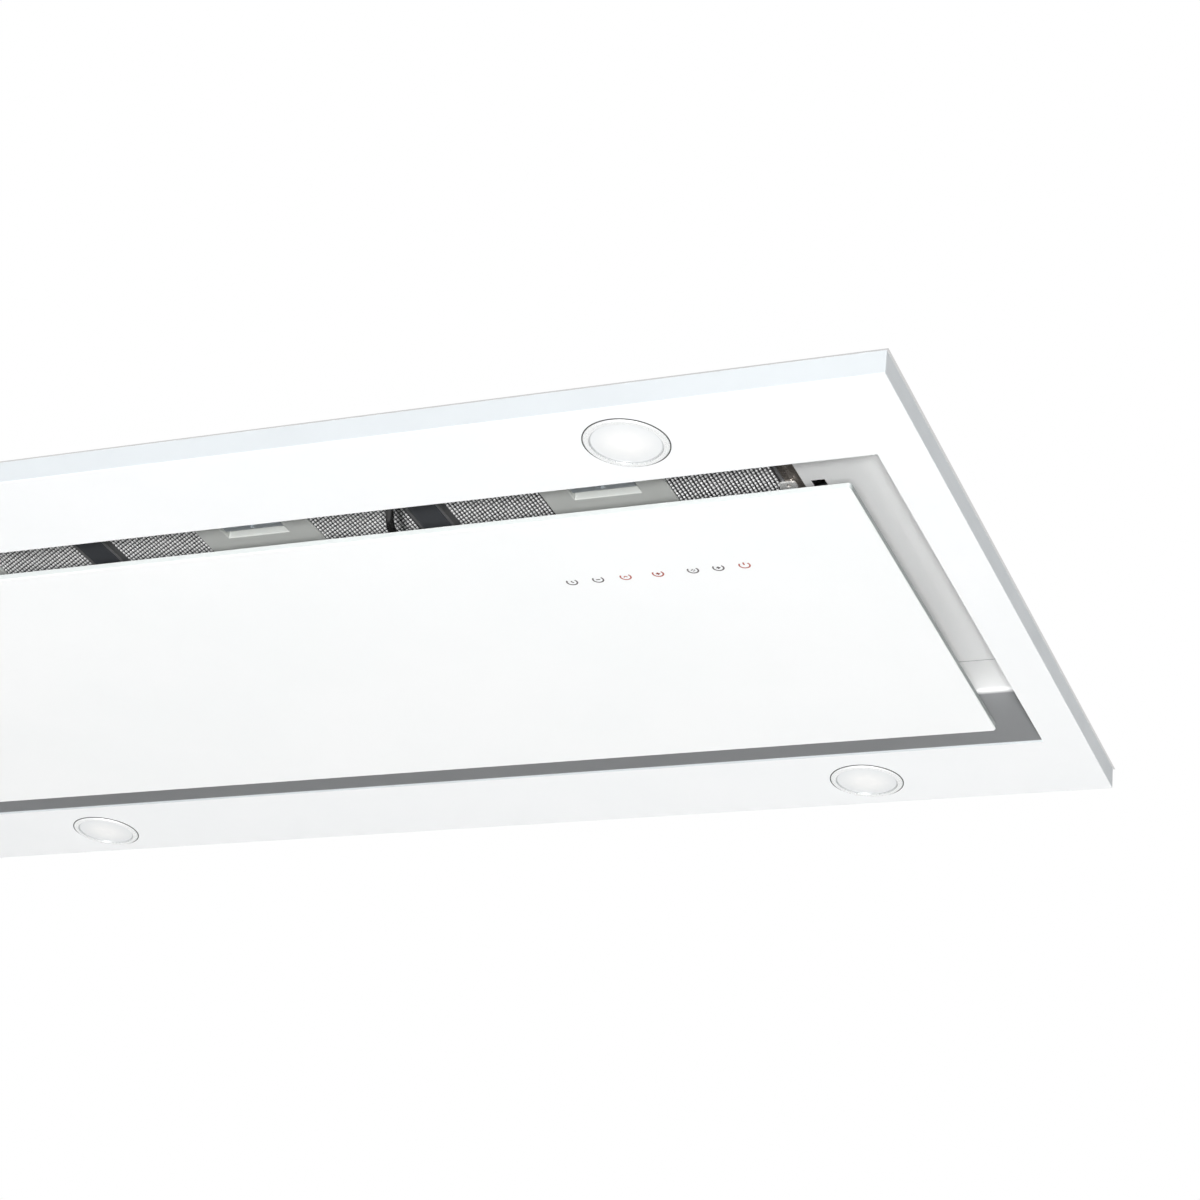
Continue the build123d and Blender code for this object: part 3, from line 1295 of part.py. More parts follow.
with BuildPart() as motor_capacitor:
    capacitor_y = box_high[1] - BOX_WALL - CAPACITOR_RADIUS - 2
    with BuildSketch(across_x(box_low[0] + 24)):
        with Locations((capacitor_y, top_z + BOX_WALL + CAPACITOR_RADIUS)):
            Circle(CAPACITOR_RADIUS)
    extrude(amount=CAPACITOR_LENGTH)
    chamfer(motor_capacitor.edges().filter_by(GeomType.CIRCLE), 1)
save(motor_capacitor, "motor_capacitor")

with BuildPart() as cable_gland:
    with BuildSketch(gland_plane.offset(-BOX_WALL - 5)):
        Circle(GLAND_RADIUS * 0.7)
    extrude(amount=BOX_WALL + 5)
    with BuildSketch(gland_plane):
        RegularPolygon(GLAND_RADIUS, 6)
    extrude(amount=GLAND_LENGTH * 0.4)
    with BuildSketch(gland_plane.offset(GLAND_LENGTH * 0.4)):
        Circle(GLAND_RADIUS * 0.85)
    extrude(amount=GLAND_LENGTH * 0.4, taper=14)
    with BuildSketch(gland_plane.offset(-BOX_WALL - 5)):
        Circle(GLAND_BORE)
    extrude(amount=GLAND_LENGTH + BOX_WALL + 5, mode=Mode.SUBTRACT)
save(cable_gland, "cable_gland")

with BuildPart() as lamp_driver:
    low = (BOX_X - DRIVER_LENGTH / 2, BOX_Y + BOX_WIDTH / 2 + 20, top_z)
    high = (low[0] + DRIVER_LENGTH, low[1] + DRIVER_WIDTH, top_z + DRIVER_HEIGHT)
    block(low, high)
    fillet(lamp_driver.edges().filter_by(Axis.Z), 3)
    chamfer(lamp_driver.faces().sort_by(Axis.Z)[-1].edges(), 1.5)
    middle_y = (low[1] + high[1]) / 2
    with BuildSketch(Plane.XY.offset(top_z)):
        for end in (low[0], high[0]):
            with Locations((end, middle_y)):
                SlotOverall(26, 14)
    extrude(amount=3)
save(lamp_driver, "lamp_driver")

# ---------------------------------------------------------------- nuts on the frame's studs

flange_line = HOUSING_FLANGE / 2
with BuildPart() as frame_nuts:
    nut_radius = NUT_WIDTH / 2 / cos(radians(30))
    tray_nuts = [(a + b) / 2 + TRAY_SHEET for a, b in zip(cutout, tray_foot)]
    housing_nuts = grown(housing, flange_line)
    with BuildSketch(Plane.XY.offset(back_z + TRAY_SHEET)):
        for length, width in (tray_nuts, housing_nuts):
            with GridLocations((length - 2 * NUT_INSET) / 3, width, 4, 2):
                RegularPolygon(nut_radius, 6)
            with GridLocations(length, (width - 2 * NUT_INSET) / 2, 2, 3):
                RegularPolygon(nut_radius, 6)
    extrude(amount=NUT_HEIGHT)
save(frame_nuts, "frame_nuts")

# ---------------------------------------------------------------- lead and grommet


def lead_radii(points):
    """The arc at each corner: 0.45 of the shorter run, divided by the tangent of half the turn."""
    vectors = [Vector(*b) - Vector(*a) for a, b in zip(points, points[1:])]
    radii = []
    for before, after in zip(vectors, vectors[1:]):
        half_turn = radians(before.get_angle(after)) / 2
        radii.append(0.45 * min(before.length, after.length) / tan(half_turn))
    return radii


radii = lead_radii(LEAD_POINTS)
print("lead radii", [round(radius, 1) for radius in radii])
with BuildPart() as panel_lead:
    with BuildLine() as route:
        FilletPolyline(*LEAD_POINTS, radius=radii)
    with BuildSketch(Plane(origin=route.line @ 0, z_dir=route.line % 0)):
        Circle(LEAD_DIAMETER / 2)
    sweep()
lead_length = sum(edge.length for edge in route.line.edges())
lead_section = pi * LEAD_DIAMETER**2 / 4
print("lead length", round(lead_length, 1))
lead_share = panel_lead.part.volume / (lead_section * lead_length)
print("lead volume over section times length", round(lead_share, 4))
save(panel_lead, "panel_lead")

with BuildPart() as lead_grommets:
    for middle, sheet_low, sheet in (
        (ledge_hole, ledge_z, TRAY_SHEET),
        (top_hole, under_top_z, HOUSING_SHEET),
    ):
        with BuildSketch(Plane.XY.offset(sheet_low)):
            with Locations(middle):
                Circle(grommet_radius)
                Circle(grommet_radius - GROMMET_WALL, mode=Mode.SUBTRACT)
        extrude(amount=sheet)
        with BuildSketch(Plane.XY.offset(sheet_low)):
            with Locations(middle):
                Circle(grommet_radius + GROMMET_FLANGE)
                Circle(grommet_radius - GROMMET_WALL, mode=Mode.SUBTRACT)
        extrude(amount=-GROMMET_THICKNESS)
save(lead_grommets, "lead_grommets")
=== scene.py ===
import json
import math

import bpy
import numpy as np
from mathutils import Matrix, Vector

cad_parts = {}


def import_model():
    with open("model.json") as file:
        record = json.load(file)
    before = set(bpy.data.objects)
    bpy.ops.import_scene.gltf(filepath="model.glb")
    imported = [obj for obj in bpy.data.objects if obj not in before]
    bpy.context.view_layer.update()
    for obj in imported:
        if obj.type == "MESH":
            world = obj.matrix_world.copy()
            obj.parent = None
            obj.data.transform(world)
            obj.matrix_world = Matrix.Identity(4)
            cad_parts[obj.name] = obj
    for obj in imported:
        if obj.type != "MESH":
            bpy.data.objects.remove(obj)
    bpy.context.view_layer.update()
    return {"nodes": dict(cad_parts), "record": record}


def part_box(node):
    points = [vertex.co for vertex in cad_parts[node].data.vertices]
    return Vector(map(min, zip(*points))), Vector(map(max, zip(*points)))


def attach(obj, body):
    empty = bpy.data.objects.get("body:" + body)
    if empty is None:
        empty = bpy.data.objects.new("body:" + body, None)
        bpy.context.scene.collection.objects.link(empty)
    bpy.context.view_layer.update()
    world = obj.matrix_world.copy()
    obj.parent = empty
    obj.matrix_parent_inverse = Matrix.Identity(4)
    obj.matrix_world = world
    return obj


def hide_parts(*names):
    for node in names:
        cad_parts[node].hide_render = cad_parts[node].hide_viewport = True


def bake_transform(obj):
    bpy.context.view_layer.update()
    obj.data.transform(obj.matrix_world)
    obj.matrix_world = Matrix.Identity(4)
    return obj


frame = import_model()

# A ceiling range hood seen from below. Lengths are in metres in the frame of the CAD model:
# the origin is the middle of the surround frame in the plane of the ceiling, +Y points away from the
# side with the touch controls, and +Z up into the ceiling.

nodes = frame["nodes"]
MM = 0.001

# ---------------------------------------------------------------- camera

CAMERA_PLACE = (0.8444, -1.3678, -0.7879)
CAMERA_YAW = 0.44775
CAMERA_PITCH = 0.48748
CAMERA_ROLL = 0.12615
FOCAL_PIXELS = 2779.9
IMAGE_PIXELS = 1200
SENSOR = 36
CAMERA_REACH = 60


def make_camera():
    """The camera at the photograph's viewing angle: below the near side, looking up at the underside."""
    data = bpy.data.cameras.new("camera")
    data.sensor_width = SENSOR
    data.lens = FOCAL_PIXELS / IMAGE_PIXELS * SENSOR
    data.clip_end = CAMERA_REACH
    camera = bpy.data.objects.new("camera", data)
    bpy.context.scene.collection.objects.link(camera)
    level = math.cos(CAMERA_PITCH)
    forward = Vector(
        (-math.sin(CAMERA_YAW) * level, math.cos(CAMERA_YAW) * level, math.sin(CAMERA_PITCH))
    )
    right = Vector((math.cos(CAMERA_YAW), math.sin(CAMERA_YAW), 0))
    up = right.cross(forward)
    turned_right = math.cos(CAMERA_ROLL) * right + math.sin(CAMERA_ROLL) * up
    turned_up = math.cos(CAMERA_ROLL) * up - math.sin(CAMERA_ROLL) * right
    turn = Matrix((turned_right, turned_up, -forward)).transposed()
    camera.matrix_world = Matrix.Translation(CAMERA_PLACE) @ turn.to_4x4()
    bpy.context.scene.camera = camera


make_camera()

# ---------------------------------------------------------------- material kit

NOISE_ROUGHNESS = 0.55
EDGE_SHARPNESS = 0.35
EDGE_SAMPLES = 4


class Look:
    """One procedural material. Its textures are laid out in metres in the piece's own space."""

    def __init__(self, name, color, metallic=0.0, roughness=0.5, **sockets):
        self.material = bpy.data.materials.new(name)
        self.material.use_nodes = True
        self.tree = self.material.node_tree
        self.shader = self.tree.nodes["Principled BSDF"]
        self.place = self.tree.nodes.new("ShaderNodeTexCoord")
        self.shader.inputs["Base Color"].default_value = (*color, 1)
        self.shader.inputs["Metallic"].default_value = metallic
        self.shader.inputs["Roughness"].default_value = roughness
        for socket, value in sockets.items():
            self.shader.inputs[socket.replace("_", " ")].default_value = value

    def add(self, kind, inputs=None, **settings):
        """A node of that kind. inputs gives a number, a colour or another node's output for each socket."""
        node = self.tree.nodes.new("ShaderNode" + kind)
        for name, value in settings.items():
            setattr(node, name, value)
        for socket, value in (inputs or {}).items():
            self.feed(node.inputs[socket], value)
        return node

    def feed(self, socket, value):
        if isinstance(value, bpy.types.NodeSocket):
            self.tree.links.new(value, socket)
        elif socket.type == "RGBA" and len(value) == 3:
            socket.default_value = (*value, 1)
        else:
            socket.default_value = value

    def spot(self, stretch=(1, 1, 1)):
        """Where a point is, with each axis scaled by stretch."""
        return self.add("Mapping", {0: self.place.outputs["Object"], "Scale": stretch}).outputs[0]

    def noise(self, size, detail=3.0, stretch=(1, 1, 1)):
        """Cloudy noise with marks about size across."""
        inputs = {"Vector": self.spot(stretch), "Scale": 1 / size, "Detail": detail}
        inputs["Roughness"] = NOISE_ROUGHNESS
        return self.add("TexNoise", inputs).outputs["Fac"]

    def cells(self, size):
        """How far a point is from the middle of its cell, in random cells about size across."""
        inputs = {"Vector": self.spot(), "Scale": 1 / size}
        return self.add("TexVoronoi", inputs).outputs["Distance"]

    def span(self, value, low, high, start, end):
        """value from low to high turned into a number from start to end."""
        inputs = {0: value, 1: low, 2: high, 3: start, 4: end}
        return self.add("MapRange", inputs).outputs[0]

    def math(self, operation, first, second=0.0):
        return self.add("Math", {0: first, 1: second}, operation=operation).outputs[0]

    def mix(self, share, first, second, blend="MIX"):
        """The colour first with share of second over it."""
        node = self.add("Mix", data_type="RGBA", blend_type=blend)
        sockets = [s for s in node.inputs if s.enabled]
        for socket, value in zip(sockets, (share, first, second)):
            self.feed(socket, value)
        return [s for s in node.outputs if s.enabled][0]

    def edges(self, radius=0.8 * MM):
        """1 along outer edges and corners, 0 on flat faces."""
        rounded = self.add("Bevel", {"Radius": radius}, samples=EDGE_SAMPLES).outputs[0]
        flat = self.add("NewGeometry").outputs["Normal"]
        same = self.add("VectorMath", {0: rounded, 1: flat}, operation="DOT_PRODUCT").outputs["Value"]
        return self.span(same, 1.0, 1.0 - EDGE_SHARPNESS, 0.0, 1.0)

    def bump(self, height, depth):
        """Raises the surface by depth where height is 1, on top of the bumps before."""
        inputs = {"Height": height, "Distance": depth, "Strength": 1.0}
        before = self.shader.inputs["Normal"]
        if before.is_linked:
            inputs["Normal"] = before.links[0].from_socket
        self.feed(before, self.add("Bump", inputs).outputs[0])

    def paint(self, color):
        self.feed(self.shader.inputs["Base Color"], color)

    def gloss(self, roughness):
        self.feed(self.shader.inputs["Roughness"], roughness)


# ---------------------------------------------------------------- materials, one for each slot of the record


def powder_coat(name, color, shade, roughness, grain=0.9 * MM, depth=0.012 * MM, wear_and_highlight=None, upright=None):
    """Baked paint with an orange-peel surface. Its edges can show wear, and its upright faces a darker tone,
    which is painted shade.
    """
    look = Look(name, color, roughness=roughness)
    cloud = look.span(look.noise(90 * MM, 4), 0.35, 0.65, 0.0, 1.0)
    tone = look.mix(cloud, color, shade)
    if wear_and_highlight:
        chips = look.math("MULTIPLY", look.edges(), look.span(look.noise(4 * MM), 0.45, 0.6, 0.0, 1.0))
        tone = look.mix(chips, tone, wear_and_highlight)
    # Upright faces take the upright colour: painted shade on the sides, darker than the faces that look down
    if upright:
        facing = look.add("SeparateXYZ", {0: look.place.outputs["Normal"]}).outputs["Z"]
        share = look.span(look.math("ABSOLUTE", facing), 0.8, 0.3, 0.0, 1.0)
        tone = look.mix(share, tone, look.mix(cloud, upright, [c * 0.96 for c in upright]))
    look.paint(tone)
    look.gloss(look.span(look.noise(35 * MM, 5), 0.3, 0.7, roughness - 0.06, roughness + 0.08))
    look.bump(look.noise(grain, 2), depth)
    return look.material


def sheet_metal(
    name, color, roughness, grain=(1, 1, 1), line=0.7 * MM, depth=0.006 * MM, tone=0.12, bare=1.0
):
    """Rolled or brushed metal. grain is under 1 along the brushing, and bare under 1 where it is dulled."""
    look = Look(name, color, metallic=bare, roughness=roughness)
    lines = look.noise(line, 3, grain)
    cloud = look.noise(60 * MM, 4)
    dark = [c * (1 - tone) for c in color]
    look.paint(look.mix(look.span(look.math("ADD", lines, cloud), 0.75, 1.25, 0.0, 1.0), dark, color))
    look.gloss(look.span(lines, 0.3, 0.7, roughness - 0.07, roughness + 0.1))
    look.bump(lines, depth)
    return look.material


def galvanised(name, color=(0.60, 0.62, 0.64)):
    """Zinc-dipped steel with its crystal spangle."""
    look = Look(name, color, metallic=1.0, roughness=0.4)
    warped = look.mix(0.015, look.spot(), look.add("TexNoise", {"Scale": 90.0}).outputs["Color"], "ADD")
    cell = look.add("TexVoronoi", {"Vector": warped, "Scale": 1 / (9 * MM)}).outputs["Color"]
    tone = look.add("SeparateColor", {0: cell}).outputs[0]
    streak = look.noise(3 * MM, 4, (1, 0.25, 1))
    pale = look.mix(tone, [c * 0.90 for c in color], [c * 1.07 for c in color])
    look.paint(look.mix(look.span(streak, 0.35, 0.75, 0.0, 0.25), pale, [c * 0.9 for c in color]))
    look.gloss(look.span(tone, 0.0, 1.0, 0.38, 0.50))
    look.bump(tone, 0.004 * MM)
    look.bump(look.noise(0.8 * MM), 0.003 * MM)
    return look.material


def moulded(name, color, roughness, grain=0.35 * MM, depth=0.006 * MM, coat=0.0):
    """Moulded plastic or rubber with a fine spark-eroded texture, and a painted highlight along its edges."""
    look = Look(name, color, roughness=roughness, Coat_Weight=coat)
    # A paler colour along edges and corners: a painted highlight
    wear_and_highlight = [min(1.0, c * 1.35 + 0.02) for c in color]
    cloud = look.span(look.noise(25 * MM, 5), 0.35, 0.7, 0.0, 0.35)
    tone = look.mix(cloud, color, [c * 0.86 for c in color])
    look.paint(look.mix(look.math("MULTIPLY", look.edges(0.7 * MM), 0.75), tone, wear_and_highlight))
    look.gloss(look.span(look.noise(8 * MM, 4), 0.3, 0.7, roughness - 0.05, roughness + 0.09))
    look.bump(look.noise(grain, 2), depth)
    return look.material


def white_glass():
    """Clear glass painted white on its back: a polished face and ground edges, pale along the long sides
    and grey at the ends, as painted light and shade.
    """
    face = (0.90, 0.91, 0.91)
    look = Look("white_glass", face, roughness=0.10, Coat_Weight=0.6, Coat_Roughness=0.03)
    facing = look.add("SeparateXYZ", {0: look.place.outputs["Normal"]}).outputs
    side = look.span(look.math("ABSOLUTE", facing["Z"]), 0.9, 0.4, 0.0, 1.0)
    end = look.span(look.math("ABSOLUTE", facing["X"]), 0.5, 0.9, 0.0, 1.0)
    cloud = look.span(look.noise(140 * MM, 3), 0.4, 0.6, 0.0, 1.0)
    face_tone = look.mix(cloud, face, (0.885, 0.90, 0.90))
    grind = look.noise(2 * MM, 2, (0.2, 0.2, 1))
    # The long edges are painted pale and the ends grey: painted light and shade on the sides
    lit_edge = look.mix(grind, (0.90, 0.93, 0.92), (0.84, 0.89, 0.88))
    shaded_end = look.mix(grind, (0.72, 0.76, 0.75), (0.60, 0.66, 0.65))
    look.paint(look.mix(side, face_tone, look.mix(end, lit_edge, shaded_end)))
    look.gloss(look.span(look.noise(50 * MM, 6), 0.45, 0.75, 0.07, 0.14))
    look.bump(look.noise(60 * MM, 2), 0.01 * MM)
    return look.material


# The middles of the four lamps are this far from the middle of the hood
LAMP_X = 294.5 * MM
LAMP_Y = 215 * MM
LENS_RADIUS = 20.4 * MM


def frosted_lens():
    """Satin glass over a cluster of diodes, unlit: palest in the middle of each lens, greyer towards its
    rim as painted shade, with a dark ring of painted shade at its seat.
    """
    look = Look("frosted_lens", (0.93, 0.94, 0.94), roughness=0.35, Coat_Weight=0.3, Coat_Roughness=0.15)
    place = look.add("SeparateXYZ", {0: look.place.outputs["Object"]}).outputs
    across = look.math("SUBTRACT", look.math("ABSOLUTE", place["X"]), LAMP_X)
    along = look.math("SUBTRACT", look.math("ABSOLUTE", place["Y"]), LAMP_Y)
    squares = [look.math("MULTIPLY", side, side) for side in (across, along)]
    reach = look.math("SQRT", look.math("ADD", *squares))
    # Greyer towards the rim of each lens, and a dark ring at its seat: painted shade
    rim_shade = look.span(reach, 0.3 * LENS_RADIUS, LENS_RADIUS, 0.0, 1.0)
    seat_shade = look.span(reach, 0.94 * LENS_RADIUS, 0.97 * LENS_RADIUS, 0.0, 1.0)
    diodes = look.span(look.cells(5 * MM), 0.1, 0.6, 0.0, 0.25)
    grain = look.noise(0.5 * MM, 2)
    disc = look.mix(rim_shade, look.mix(diodes, (0.91, 0.91, 0.90), (0.82, 0.83, 0.83)), (0.74, 0.76, 0.77))
    look.paint(look.mix(seat_shade, disc, (0.45, 0.46, 0.47)))
    look.gloss(look.span(grain, 0.3, 0.7, 0.3, 0.45))
    look.bump(grain, 0.01 * MM)
    return look.material


def circuit_board():
    """Solder mask with tracks and tinned pads under it."""
    green = (0.02, 0.13, 0.06)
    look = Look("board_green", green, roughness=0.3, Coat_Weight=0.4, Coat_Roughness=0.2)
    bricks = {
        "Vector": look.spot(),
        "Scale": 90.0,
        "Mortar Size": 0.05,
        "Color1": (0, 0, 0),
        "Color2": (0, 0, 0),
        "Mortar": (1, 1, 1),
    }
    tracks = look.add("TexBrick", bricks).outputs["Color"]
    pads = look.span(look.cells(3.2 * MM), 0.16, 0.12, 0.0, 1.0)
    tone = look.mix(tracks, green, (0.04, 0.24, 0.10))
    look.paint(look.mix(pads, tone, (0.6, 0.6, 0.58)))
    look.bump(pads, 0.1 * MM)
    return look.material


def ferrite():
    """Sintered ferrite: dark, dull and finely pitted, with chipped edges."""
    look = Look("magnet", (0.06, 0.06, 0.065), roughness=0.6)
    pits = look.noise(0.6 * MM, 4)
    chips = look.math("MULTIPLY", look.edges(0.4 * MM), look.span(look.noise(1.5 * MM), 0.45, 0.55, 0.0, 1.0))
    look.paint(look.mix(chips, look.mix(pits, (0.05, 0.05, 0.055), (0.09, 0.09, 0.095)), (0.2, 0.2, 0.2)))
    look.bump(pits, 0.03 * MM)
    return look.material


LOOKS = {
    # White paint: its upright rims get a darker bluish colour, painted shade
    "white_paint": powder_coat(
        "white_paint", (0.885, 0.895, 0.90), (0.87, 0.885, 0.89), 0.36, upright=(0.72, 0.76, 0.785)
    ),
    # Grey paint: its upright walls get a dark colour, painted shade in the recess behind the ledge
    "grey_paint": powder_coat(
        "grey_paint", (0.96, 0.965, 0.96), (0.93, 0.94, 0.93), 0.42, upright=(0.21, 0.215, 0.22)
    ),
    "dark_paint": powder_coat(
        "dark_paint", (0.07, 0.075, 0.083), (0.08, 0.085, 0.093), 0.5, wear_and_highlight=(0.16, 0.16, 0.16)
    ),
    "dark_steel": sheet_metal(
        "dark_steel", (0.40, 0.355, 0.32), 0.30, (0.2, 1, 1), depth=0.02 * MM, tone=0.5, bare=0.7
    ),
    "galvanised_steel": galvanised("galvanised_steel"),
    "bright_steel": sheet_metal("bright_steel", (0.66, 0.67, 0.68), 0.28),
    "pin_steel": sheet_metal("pin_steel", (0.75, 0.75, 0.76), 0.15, (0.15, 1, 1), line=0.3 * MM),
    "spring_steel": sheet_metal("spring_steel", (0.58, 0.58, 0.58), 0.25, line=0.3 * MM),
    "wheel_steel": galvanised("wheel_steel", (0.56, 0.58, 0.60)),
    "latch_steel": sheet_metal("latch_steel", (0.60, 0.65, 0.68), 0.35, (0.15, 1, 1), bare=0.3),
    "filter_aluminium": sheet_metal("filter_aluminium", (0.97, 0.97, 0.97), 0.34, (0.2, 1, 1), bare=0.15),
    "flap_aluminium": sheet_metal("flap_aluminium", (0.76, 0.76, 0.77), 0.35, (0.1, 1, 1)),
    "cast_aluminium": sheet_metal("cast_aluminium", (0.66, 0.66, 0.67), 0.5, line=1.2 * MM, depth=0.03 * MM),
    "handle_plastic": moulded("handle_plastic", (0.72, 0.74, 0.71), 0.42),
    "black_plastic": moulded("black_plastic", (0.022, 0.022, 0.023), 0.45),
    "grey_plastic": moulded("grey_plastic", (0.40, 0.41, 0.42), 0.5),
    "white_plastic": moulded("white_plastic", (0.82, 0.82, 0.81), 0.35),
    "motor_paint": powder_coat(
        "motor_paint", (0.04, 0.04, 0.045), (0.05, 0.05, 0.055), 0.35, wear_and_highlight=(0.3, 0.3, 0.3)
    ),
    "magnet": ferrite(),
    "board_green": circuit_board(),
    "white_glass": white_glass(),
    "frosted_lens": frosted_lens(),
    "chrome_trim": sheet_metal(
        "chrome_trim",
        (0.88, 0.89, 0.89),
        0.3,
        (1, 1, 0.1),
        line=0.25 * MM,
        depth=0.002 * MM,
        tone=0.03,
        bare=0.7,
    ),
    "black_rubber": moulded("black_rubber", (0.02, 0.02, 0.02), 0.6, grain=0.8 * MM),
    "black_jacket": moulded(
        "black_jacket", (0.008, 0.008, 0.008), 0.22, grain=2 * MM, depth=0.01 * MM, coat=0.2
    ),
}


def repaint(piece, material):
    """Gives a piece a finish of its own."""
    piece.data.materials.clear()
    piece.data.materials.append(material)


def dress(piece, slot):
    """Gives a piece the finish of one of the record's slots."""
    repaint(piece, LOOKS[slot])


for row in frame["record"]["subparts"]:
    node = nodes[row["node"]]
    for place in node.material_slots:
        place.material = LOOKS[row["material_slot"]]

# ---------------------------------------------------------------- pieces


def mesh_piece(name, points, faces, slot, body):
    """A new flat-shaded piece from its points and faces, with a slot's finish, riding on a body."""
    mesh = bpy.data.meshes.new(name)
    mesh.from_pydata([tuple(p) for p in points], [], [tuple(f) for f in faces])
    mesh.update()
    mesh.polygons.foreach_set("use_smooth", [False] * len(mesh.polygons))
    piece = bpy.data.objects.new(name, mesh)
    bpy.context.scene.collection.objects.link(piece)
    dress(piece, slot)
    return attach(piece, body)


# Expanded aluminium mesh of the grease filters. The bonds stand proud in rows along the filter, and thin
# slanting strands join the rows deeper in. A coarser layer of such mesh lies behind. The strands and that
# layer are coloured dark, as painted shade
BOND_PITCH_X = 2.575 * MM
BOND_PITCH_Y = 3.2 * MM
BOND_WIDTH = 1.3 * MM
BOND_LENGTH = 1.75 * MM
BOND_THICK = 0.9 * MM
BOND_FACE = 0.5
BOND_UNEVEN = 0.1 * MM
LINK_WIDTH = 0.5 * MM
LINK_SINK = 1.0 * MM
STRAND_WIDTH = 0.5 * MM
STRAND_THICK = 0.45 * MM
STRAND_SINK = 0.9 * MM
HANDLE_SIDE = 39.8 * MM
HANDLE_END = 84.4 * MM
MESH_EDGE = 0.9 * MM
MESH_INSET = 0.4 * MM
DEEP_LAYER = 3.0 * MM
DEEP_SCALE = 1.7
UNEVEN_SEED = 5

BOND_FACES = [(3, 2, 1, 0), (4, 5, 6, 7), (0, 1, 5, 4), (1, 2, 6, 5), (2, 3, 7, 6), (3, 0, 4, 7)]
STRAND_FACES = [(0, 1, 4, 3), (1, 2, 5, 4), (2, 0, 3, 5)]


def bond(scale):
    """The 8 corners of one bond: a small block that tapers towards the room."""
    corners = []
    for share, z in ((BOND_FACE, 0), (1.0, BOND_THICK)):
        half_x, half_y = BOND_WIDTH / 2 * scale * share, BOND_LENGTH / 2 * scale * share
        corners += [(-half_x, -half_y, z), (half_x, -half_y, z), (half_x, half_y, z), (-half_x, half_y, z)]
    return corners


def strand(start, end, width):
    """The 6 corners of a three-sided strand from start to end, with its flat side towards the room."""
    start, end = Vector(start), Vector(end)
    side = (end - start).cross(Vector((0, 0, 1))).normalized() * (width / 2)
    ridge = Vector((0, 0, STRAND_THICK))
    return [tuple(p + s) for p in (start, end) for s in (-side, side, ridge)]


def links(scale):
    """The corners of the two slanting strands that join a bond to its neighbours in the next row."""
    step_x, step_y = BOND_PITCH_X * scale, BOND_PITCH_Y / 2 * scale
    ends = [(step_x, way * step_y, STRAND_SINK) for way in (-1, 1)]
    return [strand((0, 0, STRAND_SINK), end, STRAND_WIDTH * scale) for end in ends]


def spread(spots, shapes):
    """Points and faces of the same shapes at every spot. shapes holds corners and faces."""
    cell, cell_faces = [], []
    for corners, around in shapes:
        cell_faces += [[len(cell) + c for c in face] for face in around]
        cell += corners
    points = (spots[:, None, :] + np.array(cell)[None, :, :]).reshape(-1, 3)
    starts = np.arange(len(spots)) * len(cell)
    faces = (starts[:, None, None] + np.array(cell_faces)[None, :, :]).reshape(-1, 4)
    return points, faces


def mesh_spots(low, high, scale, z):
    """The middles of the bonds of one layer, in staggered rows, clear of the handle plate."""
    middle = (low.x + high.x) / 2
    step_x, step_y = BOND_PITCH_X * scale, BOND_PITCH_Y * scale
    rows = int((high.x - low.x - 2 * MESH_EDGE) / 2 / step_x)
    spots = []
    for row in range(-rows, rows):
        x = middle + (row + 0.5) * step_x
        y = low.y + MESH_EDGE + step_y / 2 + (step_y / 2 if row % 2 else 0)
        while y < high.y - MESH_EDGE - step_y / 2:
            under_handle = abs(x - middle) < HANDLE_SIDE and y < -HANDLE_END
            if not under_handle:
                spots.append((x, y, z))
            y += step_y
    return np.array(spots)


def filter_mesh(number):
    """The mesh pack of one filter: the proud bonds, and the strands and the layer behind them."""
    node = f"filter_mesh_{number}"
    low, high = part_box(node)
    uneven = np.random.default_rng(UNEVEN_SEED + number)
    link = strand((0, 0, LINK_SINK), (0, BOND_PITCH_Y, LINK_SINK), LINK_WIDTH)
    spots = mesh_spots(low, high, 1.0, low.z + MESH_INSET)
    points, faces = spread(spots, [(bond(1.0), BOND_FACES)])
    points[:, :2] += uneven.uniform(-BOND_UNEVEN, BOND_UNEVEN, (len(points), 2))
    face = mesh_piece(f"{node}_face", points.tolist(), faces.tolist(), "filter_aluminium", "hood")
    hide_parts(node)
    points, faces = spread(spots, [(corners, STRAND_FACES) for corners in [link] + links(1.0)])
    deep = mesh_spots(low, high, DEEP_SCALE, low.z + DEEP_LAYER)
    shapes = [(bond(DEEP_SCALE), BOND_FACES)] + [(corners, STRAND_FACES) for corners in links(DEEP_SCALE)]
    deep_points, deep_faces = spread(deep, shapes)
    faces = faces.tolist() + (deep_faces + len(points)).tolist()
    points = points.tolist() + deep_points.tolist()
    back = mesh_piece(f"{node}_back", points, faces, "filter_aluminium", "hood")
    # The strands and the layer behind are coloured dark: painted shade
    repaint(back, PAINTED_SHADE_MESH)


FILTER_EDGE = sheet_metal("filter_edge", (0.34, 0.34, 0.345), 0.4, (0.2, 1, 1), bare=0.5)
# Dark aluminium for the mesh behind the bonds: painted shade
PAINTED_SHADE_MESH = sheet_metal("painted_shade_mesh", (0.13, 0.13, 0.135), 0.45, (0.2, 1, 1), bare=0.4)
for number in (1, 2, 3):
    filter_mesh(number)
    for place in nodes[f"filter_frame_{number}"].material_slots:
        place.material = FILTER_EDGE


